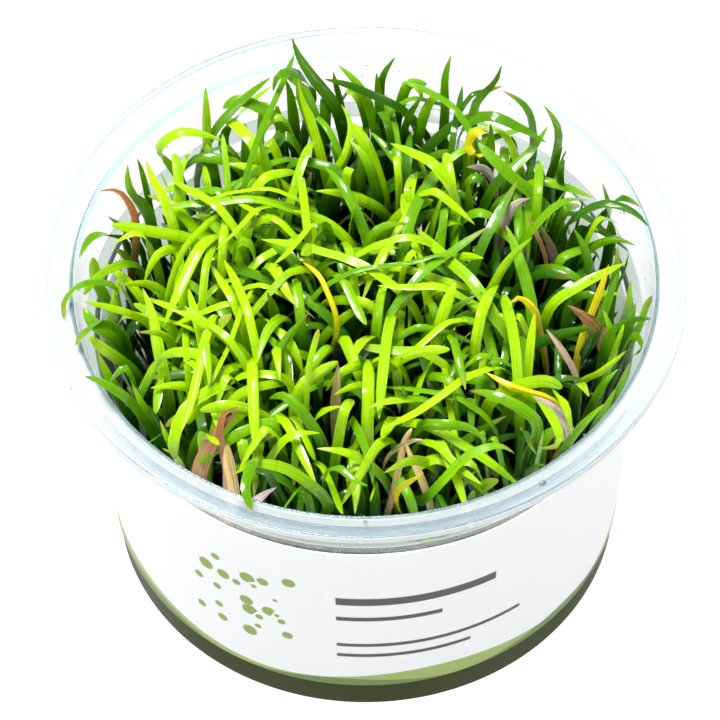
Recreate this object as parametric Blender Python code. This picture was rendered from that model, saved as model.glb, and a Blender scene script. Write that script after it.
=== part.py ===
"""Potted lilaeopsis brasiliensis: a lidless plastic cup of plantlets grown in gel.

The cup, its wrap-round label, the gel and every plantlet are separate closed solids.
The origin is the middle of the cup's underside, +Z is up, and the view from -Y sees
the front of the label. Lengths are in metres, and MM turns millimetres into them.
"""

import math
import random

import bmesh
import bpy
import numpy as np
from mathutils.bvhtree import BVHTree

MM = 0.001
UP = np.array((0.0, 0.0, 1.0))
TINY = 1e-12

# Cup
SIDES = 40
MERGE = 0.002 * MM
CUP_HEIGHT = 59.2 * MM
LIP_RADIUS = 50.0 * MM
OPENING_RADIUS = 44.65 * MM
OPENING_Z = 57.6 * MM
WALL = 0.9 * MM
WALL_FOOT_RADIUS = 39.8 * MM
DRAFT = 0.048
LEDGE_Z = 47.2 * MM
LEDGE_STEP = 1.9 * MM
LEDGE_RISE = 0.8 * MM
COLLAR_WALL = 0.6 * MM
FLOOR = 1.7 * MM
FOOT_RECESS = 0.8 * MM
FOOT_RING_RADIUS = 34.0 * MM
FOOT_ROUND = 0.5 * MM
LIP_HEIGHT = 1.6 * MM
LIP_ROUND = 0.6 * MM
BEAD_WIDTH = 1.3 * MM
BEAD_HEIGHT = 0.55 * MM

# Label and gel
GAP = 0.3 * MM
LABEL_LOW = 6.0 * MM
LABEL_HIGH = 43.9 * MM
LABEL_THICKNESS = 0.2 * MM
GEL_TOP = 9.5 * MM

# Plantlets, planted in a spiral that crowds towards the wall
SEED = 24
TUFTS = 56
SLOTS = 5
PLANTED_RADIUS = 36.9 * MM
PLANTED_SPREAD = 0.42
GOLDEN_ANGLE = math.pi * (3 - math.sqrt(5))
CROWN_RADIUS = 2.0 * MM
CROWN_HEIGHT = 2.6 * MM
CROWN_Z = GEL_TOP + GAP

# Blades: section, taper and the shares of the length where a blade has a station
BLADE_WIDTH = 2.5 * MM
BLADE_RIDGE = 0.55 * MM
FOOT_SHARE = 0.68
WIDENING = 0.55
TIP_ZONE = 0.4
TIP_NARROWING = 0.5
START_LEAN = 0.42
TURNING_ZONE = 0.5
NECK = 0.05
PLAIN_STATIONS = (0.34, 0.60, 0.78, 0.92)
CURLED_STATIONS = (0.34, 0.53, 0.67, 0.78, 0.87, 0.95)
FINE_STEPS = 48
SLOPE_REACH = 0.02
STRAIGHT = 1e-4

# Room kept round a blade, and between the blades and the lip
CLEARANCE = 0.33 * MM
SHOULDER_CLEARANCE = 0.23 * MM
RIDGE_CLEARANCE = 0.4 * MM
LIP_MARGIN = 1.5 * MM
ROOT_EASE = 0.04

# Blades grown along a chosen line, with more stations where it has more points
LINE_TUFTS = 4
LINE_TRIES = 80
LIFT_SHARE = 0.55
EASE_STEP = 0.05 * MM
SWAY = 2.0 * MM
LINE_TWIST = 0.5
LINE_WIDTHS = (0.88, 1.08)
CURLED_POINTS = 4

# Blades that fill the mat between those
FILL_TRIES = 240
MAT_TOP = 58.0 * MM
MAT_RADIUS = 43.0 * MM
CREST_RANGE = (-8.0 * MM, 3.0 * MM)
DROOP_RANGE = (-3.0 * MM, 10.0 * MM)
LONGEST_REACH = 24.0 * MM
REACH_SHARES = (0.45, 1.0)
SHORTENING = 0.6
CURL = 5.0 * MM
FILL_LEAN = 1.0
FILL_TWIST = 0.8
FILL_WIDTHS = (0.8, 1.05)

# A filling blade stands out from its own side of the crown, as a share of the crest's
# height, and then passes points that are shares of its reach, its curl and its crest
STEM_OUT = 2.0 * MM
STEM_SHARE = 0.38
FILL_LINE = ((0.38, 0.15, 0.84), (0.70, 0.50, 1.0))

# Blades that make the outline and the lit top of the mat. Each line runs in whole
# millimetres (x, y, z) from where the blade leaves the mat to its tip.
GREEN_LINES = (
    ((-3, 35, 50), (-5, 36, 58), (-9, 38, 63), (-11, 41, 67)),
    ((-23, 34, 50), (-19, 37, 57), (-15, 38, 61)),
    ((-11, 33, 50), (-14, 33, 57), (-19, 34, 60), (-22, 34, 58)),
    ((-26, 31, 46), (-26, 32, 54), (-26, 34, 62)),
    ((-28, 26, 48), (-32, 27, 55), (-31, 27, 59), (-27, 28, 60), (-22, 29, 56)),
    ((-9, 36, 54), (-12, 35, 60), (-14, 33, 62), (-15, 32, 59)),
    ((-6, 29, 44), (-7, 31, 53), (-9, 33, 59), (-10, 35, 64)),
    ((13, 36, 54), (13, 37, 61), (14, 38, 66)),
    ((11, 25, 46), (14, 26, 50), (17, 29, 56), (18, 33, 61), (21, 35, 63), (22, 36, 66)),
    ((7, 34, 56), (9, 33, 60), (9, 33, 63), (7, 34, 64)),
    ((27, 31, 56), (25, 33, 60), (22, 34, 62)),
    ((30, 28, 54), (30, 30, 59), (28, 31, 62)),
    ((19, 26, 46), (20, 27, 53), (20, 29, 60)),
    ((31, 14, 46), (30, 17, 51), (26, 19, 55), (22, 21, 58), (18, 25, 60)),
    ((18, 20, 50), (25, 25, 55), (29, 29, 59)),
    ((16, 4, 48), (18, 8, 54), (21, 13, 57), (24, 19, 58)),
    ((26, -7, 47), (26, -2, 52), (24, 5, 56), (22, 11, 57)),
    ((-35, 20, 52), (-37, 20, 56), (-37, 21, 60)),
    ((-38, 12, 55), (-42, 9, 59), (-44, 4, 60)),
    ((-26, 9, 54), (-29, 9, 57), (-34, 9, 59), (-39, 10, 59)),
    ((-39, 1, 56), (-42, 0, 60), (-46, -2, 62), (-47, -4, 61), (-47, -7, 60)),
    ((-37, -7, 52), (-39, -8, 57), (-42, -10, 60), (-44, -14, 60)),
    ((-41, 4, 50), (-42, 5, 58)),
    ((-34, -23, 52), (-37, -24, 60), (-40, -23, 62), (-43, -21, 61)),
    ((39, 12, 46), (39, 14, 57), (38, 16, 62)),
    ((37, 17, 54), (40, 15, 60), (42, 13, 60)),
    ((31, 13, 54), (33, 12, 58), (37, 12, 61), (41, 11, 61), (44, 8, 60)),
    ((33, 14, 53), (38, 10, 56), (41, 7, 58)),
    ((27, -4, 52), (30, -2, 56), (35, 0, 58), (40, 3, 58)),
    ((40, -3, 50), (41, 0, 57)),
    ((39, -8, 54), (42, -7, 59), (45, -8, 60)),
    ((-20, -18, 54), (-23, -21, 58), (-27, -24, 58), (-29, -28, 55), (-29, -29, 51)),
    ((-16, -24, 57), (-20, -25, 59), (-25, -25, 58)),
    ((-11, -26, 56), (-15, -27, 59), (-20, -29, 58), (-24, -31, 55)),
    ((-7, -35, 48), (-9, -36, 55), (-14, -35, 59), (-17, -34, 59), (-21, -35, 57)),
    ((-16, -34, 58), (-17, -37, 61), (-18, -42, 62), (-17, -45, 60)),
    ((-10, -22, 50), (-11, -22, 55), (-9, -20, 58), (-4, -16, 58)),
    ((-9, -23, 52), (-4, -24, 58)),
    ((-13, -29, 54), (-9, -29, 57), (-6, -28, 56)),
    ((8, -27, 56), (12, -29, 59), (16, -29, 58), (18, -30, 56)),
    ((11, -36, 50), (14, -36, 56), (18, -34, 59), (22, -33, 59), (24, -33, 57)),
    ((23, -22, 56), (27, -26, 59), (29, -30, 59), (29, -32, 58), (26, -32, 57)),
    ((19, -22, 55), (23, -21, 58), (27, -20, 58), (30, -20, 56)),
    ((34, -6, 52), (36, -3, 56), (38, 1, 60)),
    ((27, -5, 52), (26, -5, 56), (24, -3, 57)),
    ((17, 26, 55), (16, 27, 58), (18, 28, 60), (20, 28, 59)),
    ((28, -23, 57), (23, -21, 60), (18, -18, 58)),
)
WITHERED_LINES = (
    ((-36, 9, 50), (-35, 11, 56), (-36, 14, 59), (-38, 16, 60), (-41, 16, 60)),
    ((-21, -33, 50), (-21, -30, 56), (-23, -28, 59), (-19, -25, 59)),
    ((36, -4, 50), (34, -5, 55), (31, -5, 57)),
    ((30, -23, 52), (27, -23, 56), (25, -22, 57)),
)


def clear_scene():
    """Removes every object, so that the scene holds the part alone."""
    for leftover in list(bpy.data.objects):
        bpy.data.objects.remove(leftover)


def material(name, colour, roughness, transmission=0.0):
    """A Principled material of one colour."""
    made = bpy.data.materials.new(name)
    made.use_nodes = True
    shader = made.node_tree.nodes["Principled BSDF"]
    shader.inputs["Base Color"].default_value = (*colour, 1.0)
    shader.inputs["Roughness"].default_value = roughness
    shader.inputs["Metallic"].default_value = 0.0
    shader.inputs["Transmission Weight"].default_value = transmission
    made.diffuse_color = (*colour, 1.0)
    return made


def add_object(name, bm, finish, sharp_degrees=35):
    """Links a finished bmesh as one smooth-shaded object with its material."""
    mesh = bpy.data.meshes.new(name)
    bm.to_mesh(mesh)
    bm.free()
    mesh.shade_smooth()
    mesh.set_sharp_from_angle(angle=math.radians(sharp_degrees))
    mesh.materials.append(finish)
    made = bpy.data.objects.new(name, mesh)
    bpy.context.scene.collection.objects.link(made)
    return made


def turned(name, profile, finish, closed):
    """Spins a profile of (radius, height) points about Z into a closed solid.

    A closed profile makes a ring, and an open one starts and ends on the axis."""
    bm = bmesh.new()
    points = [bm.verts.new((radius, 0.0, height)) for radius, height in profile]
    pairs = list(zip(points, points[1:]))
    if closed:
        pairs.append((points[-1], points[0]))
    edges = [bm.edges.new(pair) for pair in pairs]
    bmesh.ops.spin(
        bm,
        geom=points + edges,
        cent=(0, 0, 0),
        axis=(0, 0, 1),
        angle=2 * math.pi,
        steps=SIDES,
        use_merge=True,
    )
    bmesh.ops.remove_doubles(bm, verts=bm.verts, dist=MERGE)
    bmesh.ops.recalc_face_normals(bm, faces=bm.faces)
    return add_object(name, bm, finish)


def wall_radius(height):
    """Outer radius of the cup's conical wall at a height."""
    return WALL_FOOT_RADIUS + DRAFT * height


def cup_profile():
    """Outline of the cup's half section, from the axis under the base round to the floor.

    The wall steps out to a wider collar at a ledge. A bead runs round the opening, and
    the flange rises from it to the rounded lip."""
    collar_foot = wall_radius(LEDGE_Z) + LEDGE_STEP
    collar_top = OPENING_RADIUS + COLLAR_WALL
    lip_low = CUP_HEIGHT - LIP_HEIGHT
    bead_outer = OPENING_RADIUS + BEAD_WIDTH
    bead_crest = OPENING_RADIUS + 0.5 * BEAD_WIDTH
    flange_low = OPENING_Z + 0.3 * BEAD_HEIGHT
    outside = [
        (0.0, FOOT_RECESS),
        (FOOT_RING_RADIUS, FOOT_RECESS),
        (FOOT_RING_RADIUS + FOOT_RECESS, 0.0),
        (wall_radius(0.0) - FOOT_ROUND, 0.0),
        (wall_radius(FOOT_ROUND), FOOT_ROUND),
        (wall_radius(LEDGE_Z - LEDGE_RISE), LEDGE_Z - LEDGE_RISE),
        (collar_foot, LEDGE_Z),
        (collar_top, OPENING_Z - WALL),
        (LIP_RADIUS - WALL, lip_low + 0.5 * LIP_ROUND),
    ]
    lip = [
        (LIP_RADIUS - 0.5 * LIP_ROUND, lip_low),
        (LIP_RADIUS, CUP_HEIGHT - LIP_ROUND),
        (LIP_RADIUS - LIP_ROUND, CUP_HEIGHT),
        (bead_outer, flange_low),
        (bead_crest, OPENING_Z + BEAD_HEIGHT),
        (OPENING_RADIUS, OPENING_Z),
    ]
    inside = [
        (collar_foot - WALL, LEDGE_Z + LEDGE_RISE),
        (wall_radius(LEDGE_Z) - WALL, LEDGE_Z),
        (wall_radius(FLOOR + WALL) - WALL, FLOOR + WALL),
        (wall_radius(FLOOR) - 2 * WALL, FLOOR),
        (0.0, FLOOR),
    ]
    return outside + lip + inside


def label_profile():
    """Section of the label, which follows the wall's cone."""
    inner_low = wall_radius(LABEL_LOW) + GAP
    inner_high = wall_radius(LABEL_HIGH) + GAP
    return [
        (inner_low, LABEL_LOW),
        (inner_low + LABEL_THICKNESS, LABEL_LOW),
        (inner_high + LABEL_THICKNESS, LABEL_HIGH),
        (inner_high, LABEL_HIGH),
    ]


def gel_profile():
    """Half section of the gel, a gap away from the cup's floor and wall."""
    low = FLOOR + GAP
    corner = FLOOR + WALL + GAP
    return [
        (0.0, low),
        (wall_radius(FLOOR) - 2 * WALL - GAP, low),
        (wall_radius(corner) - WALL - GAP, corner),
        (wall_radius(GEL_TOP) - WALL - GAP, GEL_TOP),
        (0.0, GEL_TOP),
    ]


def unit(vector):
    """The vector at length one."""
    return vector / max(np.linalg.norm(vector), TINY)


def flat_direction(angle):
    """Level unit vector at an angle from +X."""
    return np.array((math.cos(angle), math.sin(angle), 0.0))


def smooth_line(points, start_direction):
    """A curve through the points that leaves the first along start_direction.

    Cubic Hermite spans, each cut in fine steps, with slopes taken from the neighbours."""
    points = [np.asarray(point, float) for point in points]
    slopes = [start_direction * np.linalg.norm(points[1] - points[0])]
    for before, after in zip(points, points[2:]):
        slopes.append((after - before) / 2)
    slopes.append(points[-1] - points[-2])
    fine = [points[0]]
    steps = FINE_STEPS // (len(points) - 1)
    for k in range(len(points) - 1):
        for step in range(1, steps + 1):
            t = step / steps
            fine.append(
                (2 * t**3 - 3 * t**2 + 1) * points[k]
                + (t**3 - 2 * t**2 + t) * slopes[k]
                + (3 * t**2 - 2 * t**3) * points[k + 1]
                + (t**3 - t**2) * slopes[k + 1]
            )
    return np.array(fine)


def sample_line(fine, fractions):
    """Points and directions at fractions of the curve's length."""
    steps = np.diff(fine, axis=0)
    run = np.concatenate([[0.0], np.cumsum(np.linalg.norm(steps, axis=1))])
    wanted = np.asarray(fractions) * run[-1]
    places = np.stack([np.interp(wanted, run, fine[:, axis]) for axis in range(3)], 1)
    reach = SLOPE_REACH * run[-1]
    ahead = np.stack([np.interp(wanted + reach, run, fine[:, axis]) for axis in range(3)], 1)
    behind = np.stack([np.interp(wanted - reach, run, fine[:, axis]) for axis in range(3)], 1)
    return places, np.array([unit(a - b) for a, b in zip(ahead, behind)])


def bend_axis(directions, start_side):
    """The axis that the curve mostly bends about, turned to agree with start_side.

    A flat blade bends about its own width, so its width lies along this axis."""
    turns = np.cross(directions[:-1], directions[1:])
    spread = turns.T @ turns
    if np.trace(spread) < STRAIGHT:
        return start_side
    axis = np.linalg.eigh(spread)[1][:, -1]
    return axis if axis @ start_side >= 0 else -axis


def width_share(u):
    """Blade width at a fraction of its length, as a share of the full width."""
    swell = min(1.0, FOOT_SHARE + WIDENING * u)
    into_tip = max(0.0, 1 - (1 - u) / TIP_ZONE)
    return swell * (1 - TIP_NARROWING * into_tip**2)


class Blade:
    """One blade as a row of stations, each with a place, a direction and a width axis.

    Station 0 is the neck, just above the crown. The solid runs from the crown's face
    straight to station 1, and the last station is the tip. The width axis swings from
    the crown's side to the axis that the blade bends about."""

    def __init__(self, points, azimuth, stations, twist, width):
        start = unit(START_LEAN * flat_direction(azimuth) + UP)
        self.fractions = (NECK, *stations, 1.0)
        self.places, self.directions = sample_line(smooth_line(points, start), self.fractions)
        self.width = width
        start_side = flat_direction(azimuth + math.pi / 2)
        late_side = bend_axis(self.directions, start_side)
        self.sides = []
        self.tops = []
        for u, direction in zip(self.fractions, self.directions):
            share = min(1.0, u / TURNING_ZONE)
            side = (1 - share) * start_side + share * late_side
            side = unit(side - (side @ direction) * direction)
            top = np.cross(direction, side)
            turn = twist * u
            self.sides.append(math.cos(turn) * side + math.sin(turn) * top)
            self.tops.append(math.cos(turn) * top - math.sin(turn) * side)

    def ring(self, k):
        """The three corners of station k: right edge, left edge and ridge."""
        half = 0.5 * self.width * width_share(self.fractions[k])
        ridge = BLADE_RIDGE * width_share(self.fractions[k])
        place, side, top = self.places[k], self.sides[k], self.tops[k]
        return [place - half * side, place + half * side, place + ridge * top]

    def padded_ring(self, k):
        """Five corners round station k, a clearance outside the blade."""
        half = 0.5 * self.width * width_share(self.fractions[k]) + CLEARANCE
        ridge = BLADE_RIDGE * width_share(self.fractions[k]) + RIDGE_CLEARANCE
        place, side, top = self.places[k], self.sides[k], self.tops[k]
        low = place - CLEARANCE * top
        high = place + SHOULDER_CLEARANCE * top
        right, left = -half * side, half * side
        return [low + right, low + left, high + left, place + ridge * top, high + right]

    def rings(self, first):
        """Rings of the solid from a station up to the last before the tip."""
        return [self.ring(k) for k in range(first, len(self.places) - 1)]

    def padded_rings(self, first):
        """The same with a clearance all round."""
        return [self.padded_ring(k) for k in range(first, len(self.places) - 1)]

    def padded_tip(self):
        """A point one clearance past the tip."""
        return self.places[-1] + CLEARANCE * self.directions[-1]


class Obstacle:
    """A placed surface with its box, for quick overlap tests."""

    def __init__(self, corners, faces):
        corners = [tuple(corner) for corner in corners]
        self.faces = [{corners[index] for index in face} for face in faces]
        self.low, self.high = np.min(corners, 0), np.max(corners, 0)
        self.tree = BVHTree.FromPolygons(corners, faces, all_triangles=True)

    @classmethod
    def tapered(cls, rings, tip):
        """A surface through rings of corners that closes on a tip.

        Each four-cornered side is held twice, split along either diagonal, because the
        solid may be split along either of them."""
        count = len(rings[0])
        faces = []
        for low in range(0, (len(rings) - 1) * count, count):
            for step in range(count):
                a, b = low + step, low + (step + 1) % count
                c, d = b + count, a + count
                faces += [(a, b, c), (a, c, d), (a, b, d), (b, c, d)]
        last = (len(rings) - 1) * count
        corners = [corner for ring in rings for corner in ring]
        faces += [(last + c, last + (c + 1) % count, len(corners)) for c in range(count)]
        return cls([*corners, tip], faces)

    def meets(self, other):
        """True if the two surfaces touch anywhere."""
        return bool(self.tree.overlap(other.tree))

    def crosses(self, other):
        """True if two of their faces meet that share no corner."""
        pairs = self.tree.overlap(other.tree)
        return any(not self.faces[a] & other.faces[b] for a, b in pairs)


class Tuft:
    """A plantlet: a low crown standing on the gel, with a slot for a blade on each side."""

    def __init__(self, x, y, turn):
        self.centre = np.array((x, y, CROWN_Z))
        self.azimuths = [turn + 2 * math.pi * (k + 0.5) / SLOTS for k in range(SLOTS)]
        corners = [turn + 2 * math.pi * k / SLOTS for k in range(SLOTS)]
        self.base = [self.centre + CROWN_RADIUS * flat_direction(angle) for angle in corners]
        self.apex = self.centre + CROWN_HEIGHT * UP
        self.blades = {}

    def root_ring(self, slot):
        """The crown's side face that a slot's blade grows from."""
        return [self.base[slot], self.base[(slot + 1) % SLOTS], self.apex]

    def root_place(self, slot):
        """Middle of a slot's face."""
        return sum(self.root_ring(slot)) / 3

    def free_slot(self, target):
        """The free slot that faces a point best."""
        aim = math.atan2(target[1] - self.centre[1], target[0] - self.centre[0])
        free = [k for k in range(SLOTS) if k not in self.blades]
        return min(free, key=lambda k: -math.cos(aim - self.azimuths[k]))


class Planting:
    """Places blades one by one and refuses any that would touch what is there."""

    def __init__(self, vessel):
        self.rng = random.Random(SEED)
        self.vessel = vessel
        self.placed = []
        self.lows = np.empty((0, 3))
        self.highs = np.empty((0, 3))
        self.tufts = [self.sow(k) for k in range(TUFTS)]
        for tuft in self.tufts:
            crown = Obstacle.tapered([tuft.base], tuft.apex)
            self.keep(tuft, crown, crown)

    def keep(self, tuft, whole, freed):
        """Notes a solid as placed: whole, and as it is a small step above its root."""
        self.placed.append((tuft, whole, freed))
        self.lows = np.vstack([self.lows, whole.low])
        self.highs = np.vstack([self.highs, whole.high])

    def near(self, *shells):
        """The placed solids whose boxes meet the box round the shells."""
        low = np.min([shell.low for shell in shells], 0)
        high = np.max([shell.high for shell in shells], 0)
        apart = (self.lows > high).any(1) | (self.highs < low).any(1)
        return [self.placed[k] for k in np.flatnonzero(~apart)]

    def sow(self, k):
        """Crown number k of the spiral."""
        radius = PLANTED_RADIUS * ((k + 0.5) / TUFTS) ** PLANTED_SPREAD
        angle = k * GOLDEN_ANGLE
        turn = self.rng.uniform(0, 2 * math.pi / SLOTS)
        return Tuft(radius * math.cos(angle), radius * math.sin(angle), turn)

    def add(self, tuft, slot, blade):
        """Keeps a blade if it is clear of the cup, its own bends and every other blade.

        Blades of one tuft share corners at the crown, so each is compared with the
        others from a small step above it."""
        if blade.places[1:, 2].min() < CROWN_Z + CROWN_HEIGHT:
            return False
        if np.hypot(blade.places[:, 0], blade.places[:, 1]).max() > LIP_RADIUS - LIP_MARGIN:
            return False
        padded = Obstacle.tapered(blade.padded_rings(0), blade.padded_tip())
        if padded.meets(self.vessel):
            return False
        root = np.array(tuft.root_ring(slot))
        tip = blade.places[-1]
        whole = Obstacle.tapered([list(root), *blade.rings(1)], tip)
        neighbours = self.near(padded, whole)
        for owner, other, _ in neighbours:
            if owner is not tuft and (padded.meets(other) or whole.meets(other)):
                return False
        eased = (1 - ROOT_EASE) * root + ROOT_EASE * np.array(blade.ring(1))
        freed = Obstacle.tapered([list(eased), *blade.rings(1)], tip)
        upper = Obstacle.tapered(blade.padded_rings(1), blade.padded_tip())
        for owner, other, other_freed in neighbours:
            if owner is tuft:
                if upper.meets(other) or freed.meets(other_freed) or whole.crosses(other):
                    return False
        if whole.crosses(whole):
            return False
        tuft.blades[slot] = blade
        self.keep(tuft, whole, freed)
        return True

    def plant_line(self, tuft, line):
        """Grows a blade of a tuft along a line, easing it aside until it is clear."""
        goal = np.array(line, float) * MM
        slot = tuft.free_slot(goal[0])
        stations = PLAIN_STATIONS if len(line) < CURLED_POINTS else CURLED_STATIONS
        root = tuft.root_place(slot)
        for attempt in range(LINE_TRIES):
            ease = EASE_STEP * attempt
            sway = SWAY + 2 * ease
            middle = (1 - LIFT_SHARE) * root + LIFT_SHARE * goal[0]
            middle = middle + [self.rng.uniform(-sway, sway), self.rng.uniform(-sway, sway), 0]
            shift = np.array([self.rng.uniform(-ease, ease) for _ in range(3)])
            points = [root, middle, *(goal + shift)]
            twist = self.rng.uniform(-LINE_TWIST, LINE_TWIST)
            width = BLADE_WIDTH * self.rng.uniform(*LINE_WIDTHS)
            if self.add(tuft, slot, Blade(points, tuft.azimuths[slot], stations, twist, width)):
                return True
        return False

    def room(self, place, lean):
        """Level distance from a place to the edge of the mat, along a lean."""
        along = place[:2] @ lean[:2]
        return math.sqrt(along**2 + MAT_RADIUS**2 - place[:2] @ place[:2]) - along

    def fill_points(self, tuft, slot, attempt):
        """A line for one more blade: up from its slot, over a crest and out to a tip.

        After the first half of the attempts each asks for a shorter blade."""
        rng = self.rng
        shrink = 1 - SHORTENING * max(0.0, 2 * attempt / FILL_TRIES - 1)
        root = tuft.root_place(slot)
        lean = flat_direction(tuft.azimuths[slot] + rng.uniform(-FILL_LEAN, FILL_LEAN))
        across = np.array((-lean[1], lean[0], 0.0))
        reach = min(LONGEST_REACH, self.room(root, lean)) * rng.uniform(*REACH_SHARES) * shrink
        crest = (MAT_TOP + rng.uniform(*CREST_RANGE)) * shrink
        tip = crest - rng.uniform(*DROOP_RANGE) * shrink
        curl = rng.uniform(-CURL, CURL)
        level = np.array((root[0], root[1], 0.0))
        stem = level + STEM_OUT * flat_direction(tuft.azimuths[slot]) + STEM_SHARE * crest * UP
        line = [
            level + reach_share * reach * lean + curl_share * curl * across + crest_share * crest * UP
            for reach_share, curl_share, crest_share in FILL_LINE
        ]
        return [root, stem, *line, level + reach * lean + curl * across + tip * UP]

    def fill_slot(self, tuft, slot):
        """Grows a blade of its own in a free slot, if one fits."""
        for attempt in range(FILL_TRIES):
            points = self.fill_points(tuft, slot, attempt)
            twist = self.rng.uniform(-FILL_TWIST, FILL_TWIST)
            width = BLADE_WIDTH * self.rng.uniform(*FILL_WIDTHS)
            blade = Blade(points, tuft.azimuths[slot], PLAIN_STATIONS, twist, width)
            if self.add(tuft, slot, blade):
                return

    def nearest(self, point, choices):
        """Tufts with a free slot, the one that stands nearest under a point first."""
        open_tufts = [tuft for tuft in choices if len(tuft.blades) < SLOTS]
        level = np.array(point[:2], float) * MM
        return sorted(open_tufts, key=lambda tuft: np.linalg.norm(tuft.centre[:2] - level))


def grow_tuft(name, tuft, finish):
    """Models a plantlet by extruding each side face of its crown along its blade."""
    bm = bmesh.new()
    base = [bm.verts.new(corner) for corner in tuft.base]
    apex = bm.verts.new(tuft.apex)
    bm.faces.new(reversed(base))
    slot_faces = [bm.faces.new((base[k], base[(k + 1) % SLOTS], apex)) for k in range(SLOTS)]
    for slot, blade in sorted(tuft.blades.items()):
        face = slot_faces[slot]
        tip = blade.places[-1]
        for corners in [*blade.rings(1), [tip, tip, tip]]:
            face = bmesh.ops.extrude_discrete_faces(bm, faces=[face])["faces"][0]
            for vert, corner in zip(face.verts, corners):
                vert.co = corner
        bmesh.ops.pointmerge(bm, verts=face.verts[:], merge_co=tip)
    bmesh.ops.triangulate(bm, faces=bm.faces)
    return add_object(name, bm, finish, sharp_degrees=50)


def main():
    """Builds the part."""
    clear_scene()
    clear_plastic = material("clear_plastic", (0.86, 0.90, 0.93), 0.2, transmission=0.8)
    label_paper = material("label_white", (0.9, 0.91, 0.92), 0.45)
    medium = material("gel_olive", (0.30, 0.34, 0.20), 0.3)
    green = material("leaf_green", (0.30, 0.52, 0.02), 0.35)
    brown = material("leaf_withered", (0.50, 0.30, 0.16), 0.6)

    cup = turned("cup", cup_profile(), clear_plastic, closed=False)
    turned("label", label_profile(), label_paper, closed=True)
    turned("gel", gel_profile(), medium, closed=False)

    corners = [np.array(vert.co) for vert in cup.data.vertices]
    cup.data.calc_loop_triangles()
    faces = [tuple(triangle.vertices) for triangle in cup.data.loop_triangles]
    planting = Planting(Obstacle(corners, faces))

    withered = []
    for line in WITHERED_LINES:
        free = [tuft for tuft in planting.tufts if tuft not in withered]
        for tuft in planting.nearest(line[0], free)[:LINE_TUFTS]:
            if planting.plant_line(tuft, line):
                withered.append(tuft)
                break
    living = [tuft for tuft in planting.tufts if tuft not in withered]
    for line in GREEN_LINES:
        for tuft in planting.nearest(line[0], living)[:LINE_TUFTS]:
            if planting.plant_line(tuft, line):
                break
        else:
            print("a line found no room:", line)
    for tuft in living:
        for slot in range(SLOTS):
            if slot not in tuft.blades:
                planting.fill_slot(tuft, slot)

    for number, tuft in enumerate(living, 1):
        grow_tuft(f"tuft_{number:02d}", tuft, green)
    for number, tuft in enumerate(withered, 1):
        grow_tuft(f"withered_{number}", tuft, brown)
    grown = sum(len(tuft.blades) for tuft in planting.tufts)
    print("blades:", grown, "tufts:", len(living), "withered:", len(withered))


main()
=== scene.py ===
# %% [markdown]
# A cup of lilaeopsis, dressed for the camera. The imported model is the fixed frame: a clear
# cup, its label, the gel and fifty-six plain plantlets. Each cell below takes one of them
# and gives it the fine shape and the finish of the real thing, without moving or resizing it.
# The frame comes first, because every piece takes its place and its size from it.

import math
import random

import bmesh
import bpy
import numpy as np
from mathutils import Matrix, Vector


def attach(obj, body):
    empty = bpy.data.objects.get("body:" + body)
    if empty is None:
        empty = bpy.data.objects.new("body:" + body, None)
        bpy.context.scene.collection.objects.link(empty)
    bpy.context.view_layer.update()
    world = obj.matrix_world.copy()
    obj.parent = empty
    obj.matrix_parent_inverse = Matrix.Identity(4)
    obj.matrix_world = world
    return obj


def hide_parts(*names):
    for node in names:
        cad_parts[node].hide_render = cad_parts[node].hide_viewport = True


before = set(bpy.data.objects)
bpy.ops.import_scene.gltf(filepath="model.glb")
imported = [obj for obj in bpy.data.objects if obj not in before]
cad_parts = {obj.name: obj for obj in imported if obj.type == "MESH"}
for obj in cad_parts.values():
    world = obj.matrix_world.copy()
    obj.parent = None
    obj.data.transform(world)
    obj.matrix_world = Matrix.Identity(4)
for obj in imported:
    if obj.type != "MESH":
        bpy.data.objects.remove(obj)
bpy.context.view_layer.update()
MM = 0.001
print("nodes in the frame:", len(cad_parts))

# %% [markdown]
# The camera comes next. The photograph was taken from well above with a long lens, so the
# rim is a wide ellipse and the wall below it is short. These values make the rim, the ledge,
# the label's edges and the foot fall where they fall in the photograph.

# %% Camera
CAMERA_PLACE = Vector((0.0, -0.5646, 0.7882))
CAMERA_PITCH = math.radians(53.07)
CAMERA_YAW = math.radians(-0.08)
CAMERA_ROLL = math.radians(-0.61)
CAMERA_LENS = 300
SENSOR_WIDTH = 36
IMAGE_WIDTH = 720
NEAREST_SHOWN = 10 * MM


def camera_axes():
    """Right, up and forward of the camera, in the world."""
    level = Vector((math.sin(CAMERA_YAW), math.cos(CAMERA_YAW), 0))
    forward = level * math.cos(CAMERA_PITCH) - Vector((0, 0, math.sin(CAMERA_PITCH)))
    right = Vector((math.cos(CAMERA_YAW), -math.sin(CAMERA_YAW), 0))
    up = right.cross(forward)
    turn, slip = math.cos(CAMERA_ROLL), math.sin(CAMERA_ROLL)
    return turn * right + slip * up, turn * up - slip * right, forward


camera_data = bpy.data.cameras.new("camera")
camera_data.lens = CAMERA_LENS
camera_data.sensor_width = SENSOR_WIDTH
camera_data.clip_start = NEAREST_SHOWN
camera = bpy.data.objects.new("camera", camera_data)
bpy.context.scene.collection.objects.link(camera)
right, up, forward = camera_axes()
camera.matrix_world = Matrix((right, up, -forward)).transposed().to_4x4()
camera.matrix_world.translation = CAMERA_PLACE
bpy.context.scene.camera = camera


def under_pixel(across, down, height):
    """The point at a height that the camera sees at a pixel of the photograph."""
    focal = IMAGE_WIDTH * CAMERA_LENS / SENSOR_WIDTH
    ray = forward + (across - IMAGE_WIDTH / 2) / focal * right - (down - IMAGE_WIDTH / 2) / focal * up
    return np.array(CAMERA_PLACE + (height - CAMERA_PLACE.z) / ray.z * ray)


print("camera at", [round(side, 3) for side in CAMERA_PLACE])

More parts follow.
